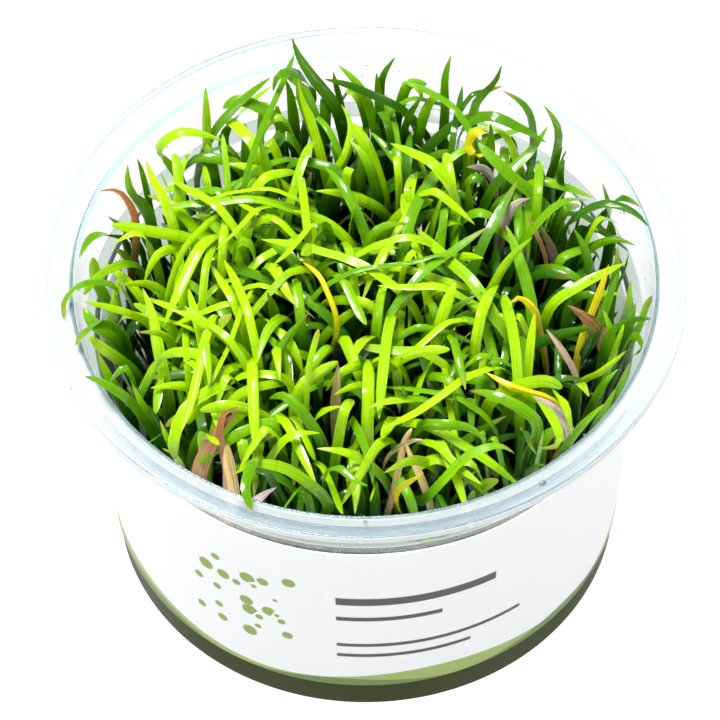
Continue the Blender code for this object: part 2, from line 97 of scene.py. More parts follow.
# %% [markdown]
# Light and floor. The photograph is a studio shot on white: broad soft light from above,
# a softer one from either side, and a floor so bright that the cup throws no shadow. Three
# area lamps and a pale world do the same, and the colours are shown as they are, so that
# the lime of the leaves keeps its strength.

# %% Light and floor
FLOOR_SIZE = 6.0
WORLD_LIGHT = 0.26
LAMPS = {
    "overhead": {"place": (-0.12, 0.10, 0.80), "size": (0.44, 0.32), "power": 9.6},
    "left_side": {"place": (-0.75, -0.45, 0.40), "size": (0.4, 0.4), "power": 1.15},
    "right_side": {"place": (0.75, -0.40, 0.40), "size": (0.4, 0.4), "power": 0.95},
}
FOCUS = Vector((0, 0, 0.04))


def deselect_all():
    """Deselects every object, because the loaded frame comes in selected."""
    bpy.ops.object.select_all(action="DESELECT")


def add_lamp(name, place, size, power):
    """A rectangular lamp that faces the cup."""
    lamp = bpy.data.lights.new(name, "AREA")
    lamp.shape = "RECTANGLE"
    lamp.size, lamp.size_y = size
    lamp.energy = power
    holder = bpy.data.objects.new(name, lamp)
    bpy.context.scene.collection.objects.link(holder)
    holder.location = place
    holder.rotation_euler = (FOCUS - Vector(place)).to_track_quat("-Z", "Y").to_euler()


for name, values in LAMPS.items():
    add_lamp(name, **values)
world = bpy.data.worlds.new("studio")
world.use_nodes = True
sky = world.node_tree.nodes["Background"].inputs
sky["Color"].default_value = (1, 1, 1, 1)
sky["Strength"].default_value = WORLD_LIGHT
bpy.context.scene.world = world
bpy.context.scene.view_settings.view_transform = "Standard"

deselect_all()
bpy.ops.mesh.primitive_plane_add(size=FLOOR_SIZE)
floor = bpy.context.object
floor.name = "floor"
print("lamps:", len(LAMPS))

# %% [markdown]
# Every finish below is a small network of nodes. These helpers keep the networks short:
# one starts a material, one sets its shader, one adds a node and joins its inputs, and the
# others are sums and patterns that come up again and again. Patterns run on Object
# coordinates or on the leaf's own map, so they stay put from every side. The floor's white
# paint, which glows faintly, is the first to use them.

# %% Helpers for materials
MIX_FACTOR, MIX_A, MIX_B, MIX_RESULT = 0, 6, 7, 2


def new_material(name):
    """A material with a Principled shader, and its node tree."""
    made = bpy.data.materials.new(name)
    made.use_nodes = True
    return made, made.node_tree


def set_inputs(tree, node, inputs):
    """Links sockets to a node's inputs, or sets plain values, by name or number."""
    for key, value in inputs.items():
        if isinstance(value, bpy.types.NodeSocket):
            tree.links.new(value, node.inputs[key])
        else:
            node.inputs[key].default_value = value


def set_shader(tree, inputs):
    """Sets the inputs of a material's Principled shader."""
    set_inputs(tree, tree.nodes["Principled BSDF"], inputs)


def add_node(tree, kind, inputs=None, **settings):
    """A node with its settings and its inputs."""
    node = tree.nodes.new(kind)
    for key, value in settings.items():
        setattr(node, key, value)
    set_inputs(tree, node, inputs or {})
    return node


def sum_node(tree, operation, *values):
    """The output of a Math node."""
    return add_node(tree, "ShaderNodeMath", dict(enumerate(values)), operation=operation).outputs[0]


def times(tree, first, second):
    """A product."""
    return sum_node(tree, "MULTIPLY", first, second)


def times_plus(tree, first, second, third):
    """A product and a third value added to it."""
    return sum_node(tree, "MULTIPLY_ADD", first, second, third)


def split_axes(tree, vector):
    """The X, Y and Z of a vector."""
    return add_node(tree, "ShaderNodeSeparateXYZ", {"Vector": vector}).outputs


def ramp(tree, value, low, high, to_low=0.0, to_high=1.0):
    """A value carried smoothly from one range to another, and held at its ends."""
    node = add_node(
        tree,
        "ShaderNodeMapRange",
        {"Value": value, "From Min": low, "From Max": high, "To Min": to_low, "To Max": to_high},
        interpolation_type="SMOOTHSTEP",
    )
    return node.outputs[0]


def mix_colour(tree, factor, first, second):
    """A mix of two colours."""
    inputs = {MIX_FACTOR: factor, MIX_A: first, MIX_B: second}
    return add_node(tree, "ShaderNodeMix", inputs, data_type="RGBA").outputs[MIX_RESULT]


def noise(tree, vector, scale, detail=2.0):
    """A soft random value that runs from 0 to 1."""
    inputs = {"Vector": vector, "Scale": scale, "Detail": detail}
    return add_node(tree, "ShaderNodeTexNoise", inputs).outputs["Fac"]


def object_place(tree):
    """The Object coordinates of a point."""
    return add_node(tree, "ShaderNodeTexCoord").outputs["Object"]


def clouds(tree, scale, detail, low=0.0, high=1.0):
    """Soft clouds that run between two values all over a piece."""
    return ramp(tree, noise(tree, object_place(tree), scale, detail), 0.3, 0.7, low, high)


def bump(tree, height, strength, distance):
    """A normal that is tilted by a height."""
    inputs = {"Height": height, "Strength": strength, "Distance": distance}
    return add_node(tree, "ShaderNodeBump", inputs).outputs["Normal"]


FLOOR_PAINT = {
    "Base Color": (0.15, 0.15, 0.15, 1),
    "Roughness": 0.7,
    "Emission Color": (1, 1, 1, 1),
    "Emission Strength": 1.06,
}
floor_white, tree = new_material("floor_white")
set_shader(tree, FLOOR_PAINT)
floor.data.materials.append(floor_white)
print("floor:", FLOOR_SIZE, "m square")

# %% [markdown]
# The cup is one thin moulding: a recessed base, a wall that widens upwards, a stacking
# ledge, a short collar and a wide flange with a rounded lip. A turned thing is best drawn as
# half a section and spun. The section is drawn the way a hand would, by extruding a single
# point from corner to corner, and its soft corners are bevelled before the spin.

# %% Tools for turned pieces
TURN_STEPS = 144
JOIN_DISTANCE = 0.002 * MM
SMOOTH_BELOW = math.radians(40)


def start_point(name, radius, height):
    """A new object in edit mode that holds one selected point, with points as what is picked."""
    deselect_all()
    bpy.ops.mesh.primitive_plane_add(size=MM)
    piece = bpy.context.object
    piece.name = piece.data.name = name
    bpy.ops.object.mode_set(mode="EDIT")
    bpy.ops.mesh.select_mode(type="VERT")
    bpy.ops.mesh.select_all(action="SELECT")
    bpy.ops.mesh.merge(type="CENTER")
    bpy.ops.transform.translate(value=(radius, 0, height))
    return piece


def select_points(piece, wanted):
    """Selects, in edit mode, the points that wanted(radius, height) picks."""
    bpy.ops.mesh.select_all(action="DESELECT")
    shape = bmesh.from_edit_mesh(piece.data)
    bpy.ops.mesh.select_mode(type="VERT")
    for point in shape.verts:
        point.select = wanted(math.hypot(point.co.x, point.co.y), point.co.z)
    shape.select_flush_mode()
    bmesh.update_edit_mesh(piece.data)


def draw_section(name, section):
    """A half section drawn by extruding a point from corner to corner."""
    piece = start_point(name, *section[0])
    for (radius, height), (next_radius, next_height) in zip(section, section[1:]):
        step = (next_radius - radius, 0, next_height - height)
        bpy.ops.mesh.extrude_region_move(TRANSFORM_OT_translate={"value": step})
    return piece


def spin_section():
    """Spins the section about the axis, joins it up and shades it smooth."""
    bpy.ops.mesh.select_all(action="SELECT")
    bpy.ops.mesh.spin(steps=TURN_STEPS, angle=2 * math.pi, center=(0, 0, 0), axis=(0, 0, 1))
    bpy.ops.mesh.select_all(action="SELECT")
    bpy.ops.mesh.remove_doubles(threshold=JOIN_DISTANCE)
    bpy.ops.mesh.normals_make_consistent(inside=False)
    bpy.ops.object.mode_set(mode="OBJECT")
    bpy.ops.object.shade_smooth_by_angle(angle=SMOOTH_BELOW)


# %% Cup
LIP_RADIUS = 50.0 * MM
CUP_HEIGHT = 59.2 * MM
OPENING_RADIUS = 44.65 * MM
OPENING_Z = 57.6 * MM
WALL = 0.9 * MM
WALL_FOOT_RADIUS = 39.8 * MM
DRAFT = 0.048
LEDGE_Z = 47.2 * MM
LEDGE_STEP = 1.9 * MM
LEDGE_RISE = 0.8 * MM
FLOOR_THICKNESS = 1.7 * MM
FOOT_RECESS = 0.8 * MM
FOOT_RING_RADIUS = 34.0 * MM
LIP_HEIGHT = 1.6 * MM
LIP_SLANT = 0.3 * MM
LIP_TOP = 0.35 * MM
BEAD_WIDTH = 0.8 * MM
BEAD_HEIGHT = 0.55 * MM
FROSTED_TO = 46.95 * MM
CHANNEL_TO = 48.8 * MM
CHANNEL_DEPTH = 0.12 * MM
GEL_TOP = 9.5 * MM
SOFT_CORNER = 0.35 * MM
BEAD_EDGE = (OPENING_RADIUS + BEAD_WIDTH, OPENING_Z + 0.3 * BEAD_HEIGHT)
LIP_EDGE = (LIP_RADIUS - LIP_TOP, CUP_HEIGHT)


def wall_radius(height):
    """Outer radius of the wall below the ledge."""
    return WALL_FOOT_RADIUS + DRAFT * height


def inner_radius(height):
    """Inner radius of the wall or the collar at a height."""
    if height < LEDGE_Z:
        return wall_radius(height) - WALL
    share = (height - LEDGE_Z) / (OPENING_Z - LEDGE_Z)
    low = wall_radius(LEDGE_Z) + LEDGE_STEP - WALL
    return low + share * (OPENING_RADIUS - low)


def flange_height(radius):
    """Height of the flange's upper side, which slopes up from the bead to the lip."""
    share = (radius - BEAD_EDGE[0]) / (LIP_EDGE[0] - BEAD_EDGE[0])
    return BEAD_EDGE[1] + share * (LIP_EDGE[1] - BEAD_EDGE[1])


def cup_section():
    """The section from under the base, up the outside, over the lip and down the inside."""
    collar_foot = wall_radius(LEDGE_Z) + LEDGE_STEP
    lip_low = CUP_HEIGHT - LIP_HEIGHT
    outside = [
        (0, FOOT_RECESS),
        (FOOT_RING_RADIUS, FOOT_RECESS),
        (FOOT_RING_RADIUS + FOOT_RECESS, 0),
        (wall_radius(0), 0),
        (wall_radius(GEL_TOP), GEL_TOP),
        (wall_radius(LEDGE_Z - LEDGE_RISE), LEDGE_Z - LEDGE_RISE),
        (collar_foot, LEDGE_Z),
        (OPENING_RADIUS + 0.65 * WALL, OPENING_Z - WALL),
        (LIP_RADIUS - WALL, lip_low + LIP_SLANT),
        (LIP_RADIUS - LIP_SLANT, lip_low),
        (LIP_RADIUS, lip_low + 0.5 * LIP_HEIGHT),
        LIP_EDGE,
    ]
    inside = [
        (CHANNEL_TO, flange_height(CHANNEL_TO)),
        (CHANNEL_TO - 2 * CHANNEL_DEPTH, flange_height(CHANNEL_TO) - CHANNEL_DEPTH),
        (FROSTED_TO, flange_height(FROSTED_TO)),
        BEAD_EDGE,
        (OPENING_RADIUS + 0.5 * BEAD_WIDTH, OPENING_Z + BEAD_HEIGHT),
        (OPENING_RADIUS, OPENING_Z),
        (inner_radius(LEDGE_Z + LEDGE_RISE), LEDGE_Z + LEDGE_RISE),
        (wall_radius(LEDGE_Z) - WALL, LEDGE_Z),
        (wall_radius(FLOOR_THICKNESS) - WALL, FLOOR_THICKNESS),
        (0, FLOOR_THICKNESS),
    ]
    return outside + inside


cup = draw_section("clear_cup", cup_section())
select_points(cup, lambda radius, height: radius > FOOT_RING_RADIUS - MM)
bpy.ops.mesh.bevel(offset=SOFT_CORNER, segments=3, affect="VERTICES")
spin_section()
print("cup:", len(cup.data.polygons), "faces")

# %% [markdown]
# The plastic is polypropylene, clear in the thin wall. In the flange it is a cool milky blue,
# because more of it lies in the line of sight, with a frosted band round the opening and a
# pale lip. Its ledge has a grey-green finish that is painted shade along the step. All of it
# lets light through, and a ray on its way to a lamp goes straight through, so that the plants
# inside are lit as in daylight. The foot has a nearly opaque dark olive finish that paints the
# gel behind it together with the gel's shade.

# %% Clear, frosted and milky plastic
LAMP_TINT = (0.9, 0.92, 0.93, 1)
PLASTIC_IOR = 1.45
FLOW_SCALE = 45.0
RIPPLE_SCALE = 260.0
RIPPLE_DEPTH = 0.2 * MM


def plastic(name, colour, clearness, roughness, gloss=0.5):
    """A see-through plastic with faint flow marks, from a low and a high roughness."""
    made, tree = new_material(name)
    ripples = bump(tree, noise(tree, object_place(tree), RIPPLE_SCALE), 0.05, RIPPLE_DEPTH)
    look = {"Base Color": colour, "Transmission Weight": clearness, "IOR": PLASTIC_IOR}
    look.update({"Specular IOR Level": gloss, "Normal": ripples})
    look["Roughness"] = clouds(tree, FLOW_SCALE, 3.0, *roughness)
    set_shader(tree, look)
    to_lamp = add_node(tree, "ShaderNodeLightPath").outputs["Is Shadow Ray"]
    let_through = add_node(tree, "ShaderNodeBsdfTransparent", {"Color": LAMP_TINT}).outputs[0]
    seen = tree.nodes["Principled BSDF"].outputs[0]
    mixed = add_node(tree, "ShaderNodeMixShader", {0: to_lamp, 1: seen, 2: let_through})
    set_inputs(tree, tree.nodes["Material Output"], {"Surface": mixed.outputs[0]})
    return made


CUP_FINISHES = {
    "clear_wall": ((0.95, 0.98, 0.99, 1), 0.96, (0.02, 0.06)),
    "milky_flange": ((0.71, 0.81, 0.88, 1), 0.90, (0.05, 0.10)),
    "frosted_band": ((0.90, 0.95, 0.98, 1), 0.68, (0.15, 0.28)),
    "pale_lip": ((0.93, 0.96, 0.98, 1), 0.40, (0.22, 0.32)),
    # Painted shade: the ledge's grey-green stands for the shade along the step.
    "ledge_painted_shade": ((0.50, 0.56, 0.53, 1), 0.90, (0.08, 0.18)),
    "blue_bead": ((0.58, 0.76, 0.83, 1), 0.85, (0.05, 0.10)),
    # Painted: a nearly opaque dark olive that stands for the gel behind the foot and the gel's shade.
    "gel_and_shade_foot": ((0.042, 0.051, 0.010, 1), 0.02, (0.4, 0.5), 0.05),
}
FINISH_ORDER = list(CUP_FINISHES)
LIP_FROM = LIP_RADIUS - 0.32 * MM
LEDGE_REACH = 1.2 * LEDGE_RISE
OUTER_SKIN = 0.3 * WALL
FACING_UP = 0.2
SLANTED = 0.1


def cup_finish(face):
    """The finish of one of the cup's faces, by its place."""
    radius = math.hypot(face.center.x, face.center.y)
    height, slant = face.center.z, face.normal.z
    if radius > LIP_FROM:
        return "pale_lip"
    if height > OPENING_Z - WALL:
        if radius < BEAD_EDGE[0]:
            return "blue_bead"
        return "frosted_band" if slant > FACING_UP and radius < FROSTED_TO else "milky_flange"
    # The ledge's faces take the painted shade.
    if abs(height - LEDGE_Z) < LEDGE_REACH and abs(slant) > SLANTED:
        return "ledge_painted_shade"
    # The base and the outside below the gel's top take the painted gel and shade.
    outside = radius > wall_radius(height) - OUTER_SKIN
    low = height < FLOOR_THICKNESS + JOIN_DISTANCE or (outside and height < GEL_TOP)
    return "gel_and_shade_foot" if low else "clear_wall"


for name, look in CUP_FINISHES.items():
    cup.data.materials.append(plastic(name, *look))
for face in cup.data.polygons:
    face.material_index = FINISH_ORDER.index(cup_finish(face))
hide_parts("cup")
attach(cup, "root")
print("finishes on the cup:", len(FINISH_ORDER))

# %% [markdown]
# The label is one strip of coated paper round the wall, with its ends lapped at the back.
# It is turned like the cup, a hair outside the wall, and the lap is a strip of its faces
# pushed out. A map in centimetres, round the label and up it, carries the print.

# %% Label
LABEL_LOW = 6.0 * MM
LABEL_HIGH = 43.9 * MM
LABEL_GAP = 0.12 * MM
LABEL_THICKNESS = 0.25 * MM
LAP_WIDTH = 7.0 * MM
LAP_THICKNESS = 0.12 * MM
PRINT_UNIT = 10 * MM

label_inner = [(wall_radius(height) + LABEL_GAP, height) for height in (LABEL_LOW, LABEL_HIGH)]
label_outer = [(radius + LABEL_THICKNESS, height) for radius, height in reversed(label_inner)]
label_radius = label_outer[0][0]
label = draw_section("wrap_label", [*label_inner, *label_outer, label_inner[0]])
spin_section()


def from_front(point):
    """Angle round the cup from the front, with plus to the right."""
    return math.atan2(point.x, -point.y)


def facing_out(face):
    """True if a face looks away from the cup's axis."""
    return Vector((face.center.x, face.center.y, 0)).dot(face.normal) > 0.5 * label_radius


deselect_all()
bpy.context.view_layer.objects.active = label
label.select_set(True)
bpy.ops.object.mode_set(mode="EDIT")
bpy.ops.mesh.select_mode(type="FACE")
bpy.ops.mesh.select_all(action="DESELECT")
bpy.ops.object.mode_set(mode="OBJECT")
for face in label.data.polygons:
    face.select = facing_out(face) and from_front(face.center) > math.pi - LAP_WIDTH / label_radius
print("faces in the lap:", sum(face.select for face in label.data.polygons))
bpy.ops.object.mode_set(mode="EDIT")
bpy.ops.mesh.extrude_region_shrink_fatten(TRANSFORM_OT_shrink_fatten={"value": LAP_THICKNESS})
bpy.ops.object.mode_set(mode="OBJECT")
bpy.ops.object.shade_smooth_by_angle(angle=SMOOTH_BELOW)
print_map = label.data.uv_layers.new(name="print")
for face in label.data.polygons:
    middle = from_front(face.center)
    for loop in face.loop_indices:
        point = label.data.vertices[label.data.loops[loop].vertex_index].co
        turn = from_front(point)
        turn += 2 * math.pi * round((middle - turn) / (2 * math.pi))
        print_map.data[loop].uv = (turn * label_radius / PRINT_UNIT, point.z / PRINT_UNIT)
print("label:", len(label.data.polygons), "faces")

# %% [markdown]
# The print is a plain design of its own: two low green hills along the foot, a cluster of
# round bubbles that rises at the left, and a few dark rules of unequal length at the right.
# The bubbles are the cells of a Voronoi texture, each with a radius from its own colour, and
# a cell counts only if its middle lies in the cluster, so that no bubble is cut. Places are in
# centimetres on the label's map: a hill has a level, a swell, a pace and a start, and a rule
# an end, a level and a thickness.

# %% Print on the label
HILL_GREEN = (0.13, 0.22, 0.03, 1)
FAR_HILL_GREEN = (0.34, 0.46, 0.10, 1)
BUBBLE_GREEN = (0.24, 0.38, 0.04, 1)
INK_GREY = (0.045, 0.047, 0.05, 1)
PAPER_TONES = ((0.93, 0.935, 0.945, 1), (0.95, 0.955, 0.965, 1))
PAPER_GRAIN = 900.0
SOFT_EDGE = 0.012
HILLS = ((FAR_HILL_GREEN, 0.84, 0.13, 1.05, 0.4), (HILL_GREEN, 0.70, 0.09, 1.62, 2.1))
BUBBLE_SCALE = 2.6
BUBBLE_SIZES = (0.30, 0.06)
BUBBLE_EDGE = 0.03
BUBBLE_FIELD_AROUND = (-2.9, -1.05)
BUBBLE_FIELD_UP = (1.4, 3.4)
RULES_FROM = -0.5
RULES = ((2.1, 2.95, 0.20), (1.2, 2.50, 0.11), (2.6, 1.75, 0.09), (1.7, 1.45, 0.09))


def inside_band(tree, value, low, high):
    """One where a value lies between two bounds, with soft edges."""
    above = ramp(tree, value, low - SOFT_EDGE, low + SOFT_EDGE)
    below = ramp(tree, value, high + SOFT_EDGE, high - SOFT_EDGE)
    return times(tree, above, below)


def inside_box(tree, across, up_side, across_band, up_band):
    """One where two values both lie in their bands."""
    return times(tree, inside_band(tree, across, *across_band), inside_band(tree, up_side, *up_band))


label_paper, tree = new_material("coated_paper")
tone = mix_colour(tree, clouds(tree, PAPER_GRAIN, 3.0), *PAPER_TONES)
paper_map = add_node(tree, "ShaderNodeUVMap", uv_map="print").outputs["UV"]
around, up_label, _ = split_axes(tree, paper_map)
for colour, level, swell, pace, start in HILLS:
    swing = sum_node(tree, "SINE", times_plus(tree, around, pace, start))
    above_line = sum_node(tree, "SUBTRACT", up_label, times_plus(tree, swing, swell, level))
    tone = mix_colour(tree, ramp(tree, above_line, SOFT_EDGE, -SOFT_EDGE), tone, colour)
cell_inputs = {"Vector": paper_map, "Scale": BUBBLE_SCALE}
cells = add_node(tree, "ShaderNodeTexVoronoi", cell_inputs, voronoi_dimensions="2D").outputs
size = times_plus(tree, split_axes(tree, cells["Color"])[0], *BUBBLE_SIZES)
bubble = ramp(tree, sum_node(tree, "SUBTRACT", cells["Distance"], size), BUBBLE_EDGE, -BUBBLE_EDGE)
middle_around, middle_up, _ = split_axes(tree, cells["Position"])
field = inside_box(tree, middle_around, middle_up, BUBBLE_FIELD_AROUND, BUBBLE_FIELD_UP)
tone = mix_colour(tree, times(tree, bubble, field), tone, BUBBLE_GREEN)
for end, level, thickness in RULES:
    rule = inside_box(tree, around, up_label, (RULES_FROM, end), (level, level + thickness))
    tone = mix_colour(tree, rule, tone, INK_GREY)
grain = bump(tree, noise(tree, object_place(tree), PAPER_GRAIN, 3.0), 0.04, 0.02 * MM)
set_shader(tree, {"Base Color": tone, "Roughness": 0.42, "Normal": grain})
label.data.materials.append(label_paper)
print("rules on the label:", len(RULES))

# %% [markdown]
# The label's inner side is the one that shows through the wall between the leaves. That side
# has a painted glow: an emission that stands in for the studio's light coming through the
# paper, in grey-green tones that paint the shade and the green light of the plants beside it.

# %% Inner side of the label
PAINTED_GLOW_TONES = ((0.40, 0.46, 0.38, 1), (0.58, 0.63, 0.56, 1))

label_inside, tree = new_material("paper_lit_through")
tone = mix_colour(tree, clouds(tree, 70.0, 2.0), *PAINTED_GLOW_TONES)
# Painted light: the inner side glows, and its grey-green tones paint the plants' shade and green light.
look = {"Base Color": tone, "Emission Color": tone, "Emission Strength": 1.1, "Roughness": 0.6}
set_shader(tree, look)
label.data.materials.append(label_inside)
for face in label.data.polygons:
    face.material_index = int(not facing_out(face))
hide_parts("label")
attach(label, "root")
print("sides of the label:", len(label.data.materials))

# %% [markdown]
# The gel fills the foot of the cup. It is olive, slightly cloudy and glossy, and it climbs
# a little at the wall. It stays a hair inside the wall, so the two never share a surface.

# %% Gel
GEL_GAP = 0.12 * MM
MENISCUS = 0.5 * MM
MENISCUS_WIDTH = 3 * MM
GEL_TONES = ((0.06, 0.075, 0.03, 1), (0.10, 0.12, 0.055, 1))

gel_low = FLOOR_THICKNESS + GEL_GAP
gel_section = [
    (0, gel_low),
    (wall_radius(gel_low) - WALL - GEL_GAP, gel_low),
    (wall_radius(GEL_TOP) - WALL - GEL_GAP, GEL_TOP),
    (wall_radius(GEL_TOP) - WALL - MENISCUS_WIDTH, GEL_TOP - MENISCUS),
    (0, GEL_TOP - MENISCUS),
]
gel = draw_section("culture_gel", gel_section)
spin_section()
gel_olive, tree = new_material("olive_gel")
tone = mix_colour(tree, clouds(tree, 60.0, 3.0), *GEL_TONES)
set_shader(tree, {"Base Color": tone, "Roughness": 0.12})
gel.data.materials.append(gel_olive)
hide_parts("gel")
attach(gel, "root")
print("gel:", len(gel.data.polygons), "faces")

# %% [markdown]
# A leaf of this plant is a narrow ribbon, thick at its middle and thin at its edges, that
# ends in a soft point or a round tip. One of each is modelled upright: a four-sided ring is
# flattened, then extruded and resized ring by ring. The first rings are the blade's and the
# last few are the tip's. The rings stand one unit apart here. Each copy spaces them its own
# way, closer where it bends.

# %% Leaf patterns
LEAF_SIDES = 4
LEAF_THICKNESS = 0.24
BLADE_RINGS = 13
FULL_FROM = 5
FOOT_WIDTH = 0.66
TIP_STEPS = (0.82, 0.64, 0.46, 0.30, 0.16, 0.06)
RING_COUNT = BLADE_RINGS + len(TIP_STEPS)


def start_ring(sides, radius):
    """A new object in edit mode that holds one selected face."""
    deselect_all()
    bpy.ops.mesh.primitive_circle_add(vertices=sides, radius=radius, fill_type="NGON")
    bpy.ops.object.mode_set(mode="EDIT")
    bpy.ops.mesh.select_all(action="SELECT")


def grow_ring(rise, share, level):
    """Extrudes the selected ring upwards and resizes it at its new level."""
    bpy.ops.mesh.extrude_region_move(TRANSFORM_OT_translate={"value": (0, 0, rise)})
    bpy.ops.transform.resize(value=(share, share, 1), center_override=(0, 0, level))


def points_and_faces():
    """The points and faces of the object in hand, which is then removed."""
    bpy.ops.object.mode_set(mode="OBJECT")
    piece = bpy.context.object
    points = np.array([point.co for point in piece.data.vertices])
    faces = [tuple(face.vertices) for face in piece.data.polygons]
    bpy.data.objects.remove(piece)
    return points, faces


def leaf_pattern(tip_length, tip_power):
    """A straight leaf with its points, its faces and its tip's length in widths."""
    widths = [
        FOOT_WIDTH + (1 - FOOT_WIDTH) * math.sin(math.pi / 2 * min(1, k / FULL_FROM))
        for k in range(BLADE_RINGS)
    ]
    widths += [(1 - (1 - step) ** 2) ** tip_power for step in TIP_STEPS]
    start_ring(LEAF_SIDES, 0.5)
    flat = (widths[0], widths[0] * LEAF_THICKNESS, 1)
    bpy.ops.transform.resize(value=flat, center_override=(0, 0, 0))
    for k in range(1, RING_COUNT):
        grow_ring(1, widths[k] / widths[k - 1], k)
    bpy.ops.mesh.extrude_region_move(TRANSFORM_OT_translate={"value": (0, 0, 1)})
    bpy.ops.mesh.merge(type="CENTER")
    points, faces = points_and_faces()
    return {"points": points, "faces": faces, "tip_length": tip_length}


POINTED_LEAF = leaf_pattern(tip_length=5.2, tip_power=0.82)
BLUNT_LEAF = leaf_pattern(tip_length=2.2, tip_power=0.56)
print("a leaf has", len(POINTED_LEAF["faces"]), "faces")

# %% [markdown]
# The frame already says where two hundred and fifty leaves go. In a plain plantlet each leaf
# is a row of triangles that ends in a tip. A tip is a point with just three edges, and the
# rings below it are found by stepping from neighbour to neighbour down to the crown. In each
# ring the long side is the leaf's width, and the third point is its ridge.

# %% Read the leaves from the frame
WELD = 0.01 * MM
CROWN_HEIGHT = 2.6 * MM
SLIMNESS = 0.82
VIEW_SHARE = 0.6


def unit(vector):
    """The vector at length one."""
    return vector / max(np.linalg.norm(vector), 1e-12)


def welded(node):
    """A copy of a node's shape with its loose triangles joined."""
    shape = bmesh.new()
    shape.from_mesh(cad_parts[node].data)
    bmesh.ops.remove_doubles(shape, verts=shape.verts, dist=WELD)
    return shape


def rings_below(tip, lowest):
    """Rings of three points from a tip down, and the ring at the crown last."""
    seen = {tip}
    layer = {tip}
    rings = []
    while not rings or min(point.co.z for point in rings[-1]) > lowest + WELD:
        layer = {edge.other_vert(point) for point in layer for edge in point.link_edges} - seen
        seen |= layer
        rings.append(sorted(layer, key=lambda point: point.co[:]))
    return [[np.array(point.co) for point in ring] for ring in rings]


def ring_frame(ring, side_before):
    """Middle, width, side and top of a ring."""
    pairs = [(0, 1, 2), (1, 2, 0), (2, 0, 1)]
    left, right_end, ridge = max(pairs, key=lambda p: np.linalg.norm(ring[p[0]] - ring[p[1]]))
    middle = (ring[left] + ring[right_end]) / 2
    across = ring[left] - ring[right_end]
    if side_before is not None and across @ side_before < 0:
        across = -across
    return middle, np.linalg.norm(across), unit(across), unit(ring[ridge] - middle)


def turned_to_view(path, sides):
    """Sides that lie partly across the view, so that a leaf shows its flat as in the photograph."""
    slopes = np.gradient(np.array(path), axis=0)
    turned = []
    for slope, side in zip(slopes, sides):
        across = unit(np.cross(slope, forward))
        across *= 1 if across @ side >= 0 else -1
        turned.append(unit((1 - VIEW_SHARE) * side + VIEW_SHARE * across))
    return turned


def read_plantlet(node):
    """The middle of a plantlet's crown, and its leaves as paths with widths and sides."""
    shape = welded(node)
    lowest = min(point.co.z for point in shape.verts)
    base = [np.array(point.co) for point in shape.verts if point.co.z < lowest + WELD]
    leaves = []
    for tip in shape.verts:
        if len(tip.link_edges) == 3 and tip.co.z > lowest + CROWN_HEIGHT:
            rings = rings_below(tip, lowest)
            root = np.mean(rings.pop(), axis=0)
            path, sides, tops, widths = [np.array(tip.co)], [], [], []
            side = None
            for ring in rings:
                middle, width, side, top = ring_frame(ring, side)
                path.append(middle)
                widths.append(width)
                sides.append(side)
                tops.append(top)
            path.append(root)
            sides = [sides[0], *sides, sides[-1]]
            tops = [tops[0], *tops, tops[-1]]
            leaves.append(
                {
                    "path": path[::-1],
                    "sides": turned_to_view(path[::-1], sides[::-1]),
                    "tops": tops[::-1],
                    "width": SLIMNESS * float(np.median(widths)),
                }
            )
    shape.free()
    return np.mean(base, axis=0), leaves


plantlets = {}
for node in sorted(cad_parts):
    if node.startswith(("tuft", "withered")):
        plantlets[node] = read_plantlet(node)
frame_leaves = sum(len(leaves) for _, leaves in plantlets.values())
print("plantlets:", len(plantlets), "leaves in the frame:", frame_leaves)

# %% [markdown]
# A leaf follows a smooth line through those middles. The line is a chain of cubic spans
# whose slopes come from the neighbouring points, measured by their distance, so that an
# uneven spacing makes no kinks. The pattern's rings are then spread along the line, closer
# where it turns, and each point is carried to it: across by its side, out by its thickness.

# %% Bend a leaf along its line
LINE_POINTS = 130
EVEN_SPREAD = 2.2
CROWDED_BELOW = 19.0 * MM


def distances_along(points):
    """Distance from the first point to each, along a line of points."""
    return np.concatenate([[0], np.cumsum(np.linalg.norm(np.diff(points, axis=0), axis=1))])


def smooth_path(points):
    """Finely spaced points on a smooth line through the given ones, and their own marks."""
    points = np.array(points, float)
    marks = distances_along(points)
    gaps = np.diff(marks)
    chords = np.diff(points, axis=0) / gaps[:, None]
    weights = (gaps[1:] / (gaps[:-1] + gaps[1:]))[:, None]
    inner = weights * chords[:-1] + (1 - weights) * chords[1:]
    slopes = np.concatenate([chords[:1], inner, 1.5 * chords[-1:] - 0.5 * inner[-1:]])
    steps = max(1, LINE_POINTS // len(points))
    t = np.linspace(0, 1, steps, endpoint=False)[None, :, None]
    gap = gaps[:, None, None]
    fine = (
        (2 * t**3 - 3 * t**2 + 1) * points[:-1, None]
        + (t**3 - 2 * t**2 + t) * gap * slopes[:-1, None]
        + (3 * t**2 - 2 * t**3) * points[1:, None]
        + (t**3 - t**2) * gap * slopes[1:, None]
    )
    fine_marks = marks[:-1, None] + t[:, :, 0] * gaps[:, None]
    fine = np.concatenate([fine.reshape(-1, 3), points[-1:]])
    return fine, np.append(fine_marks.ravel(), marks[-1]), marks


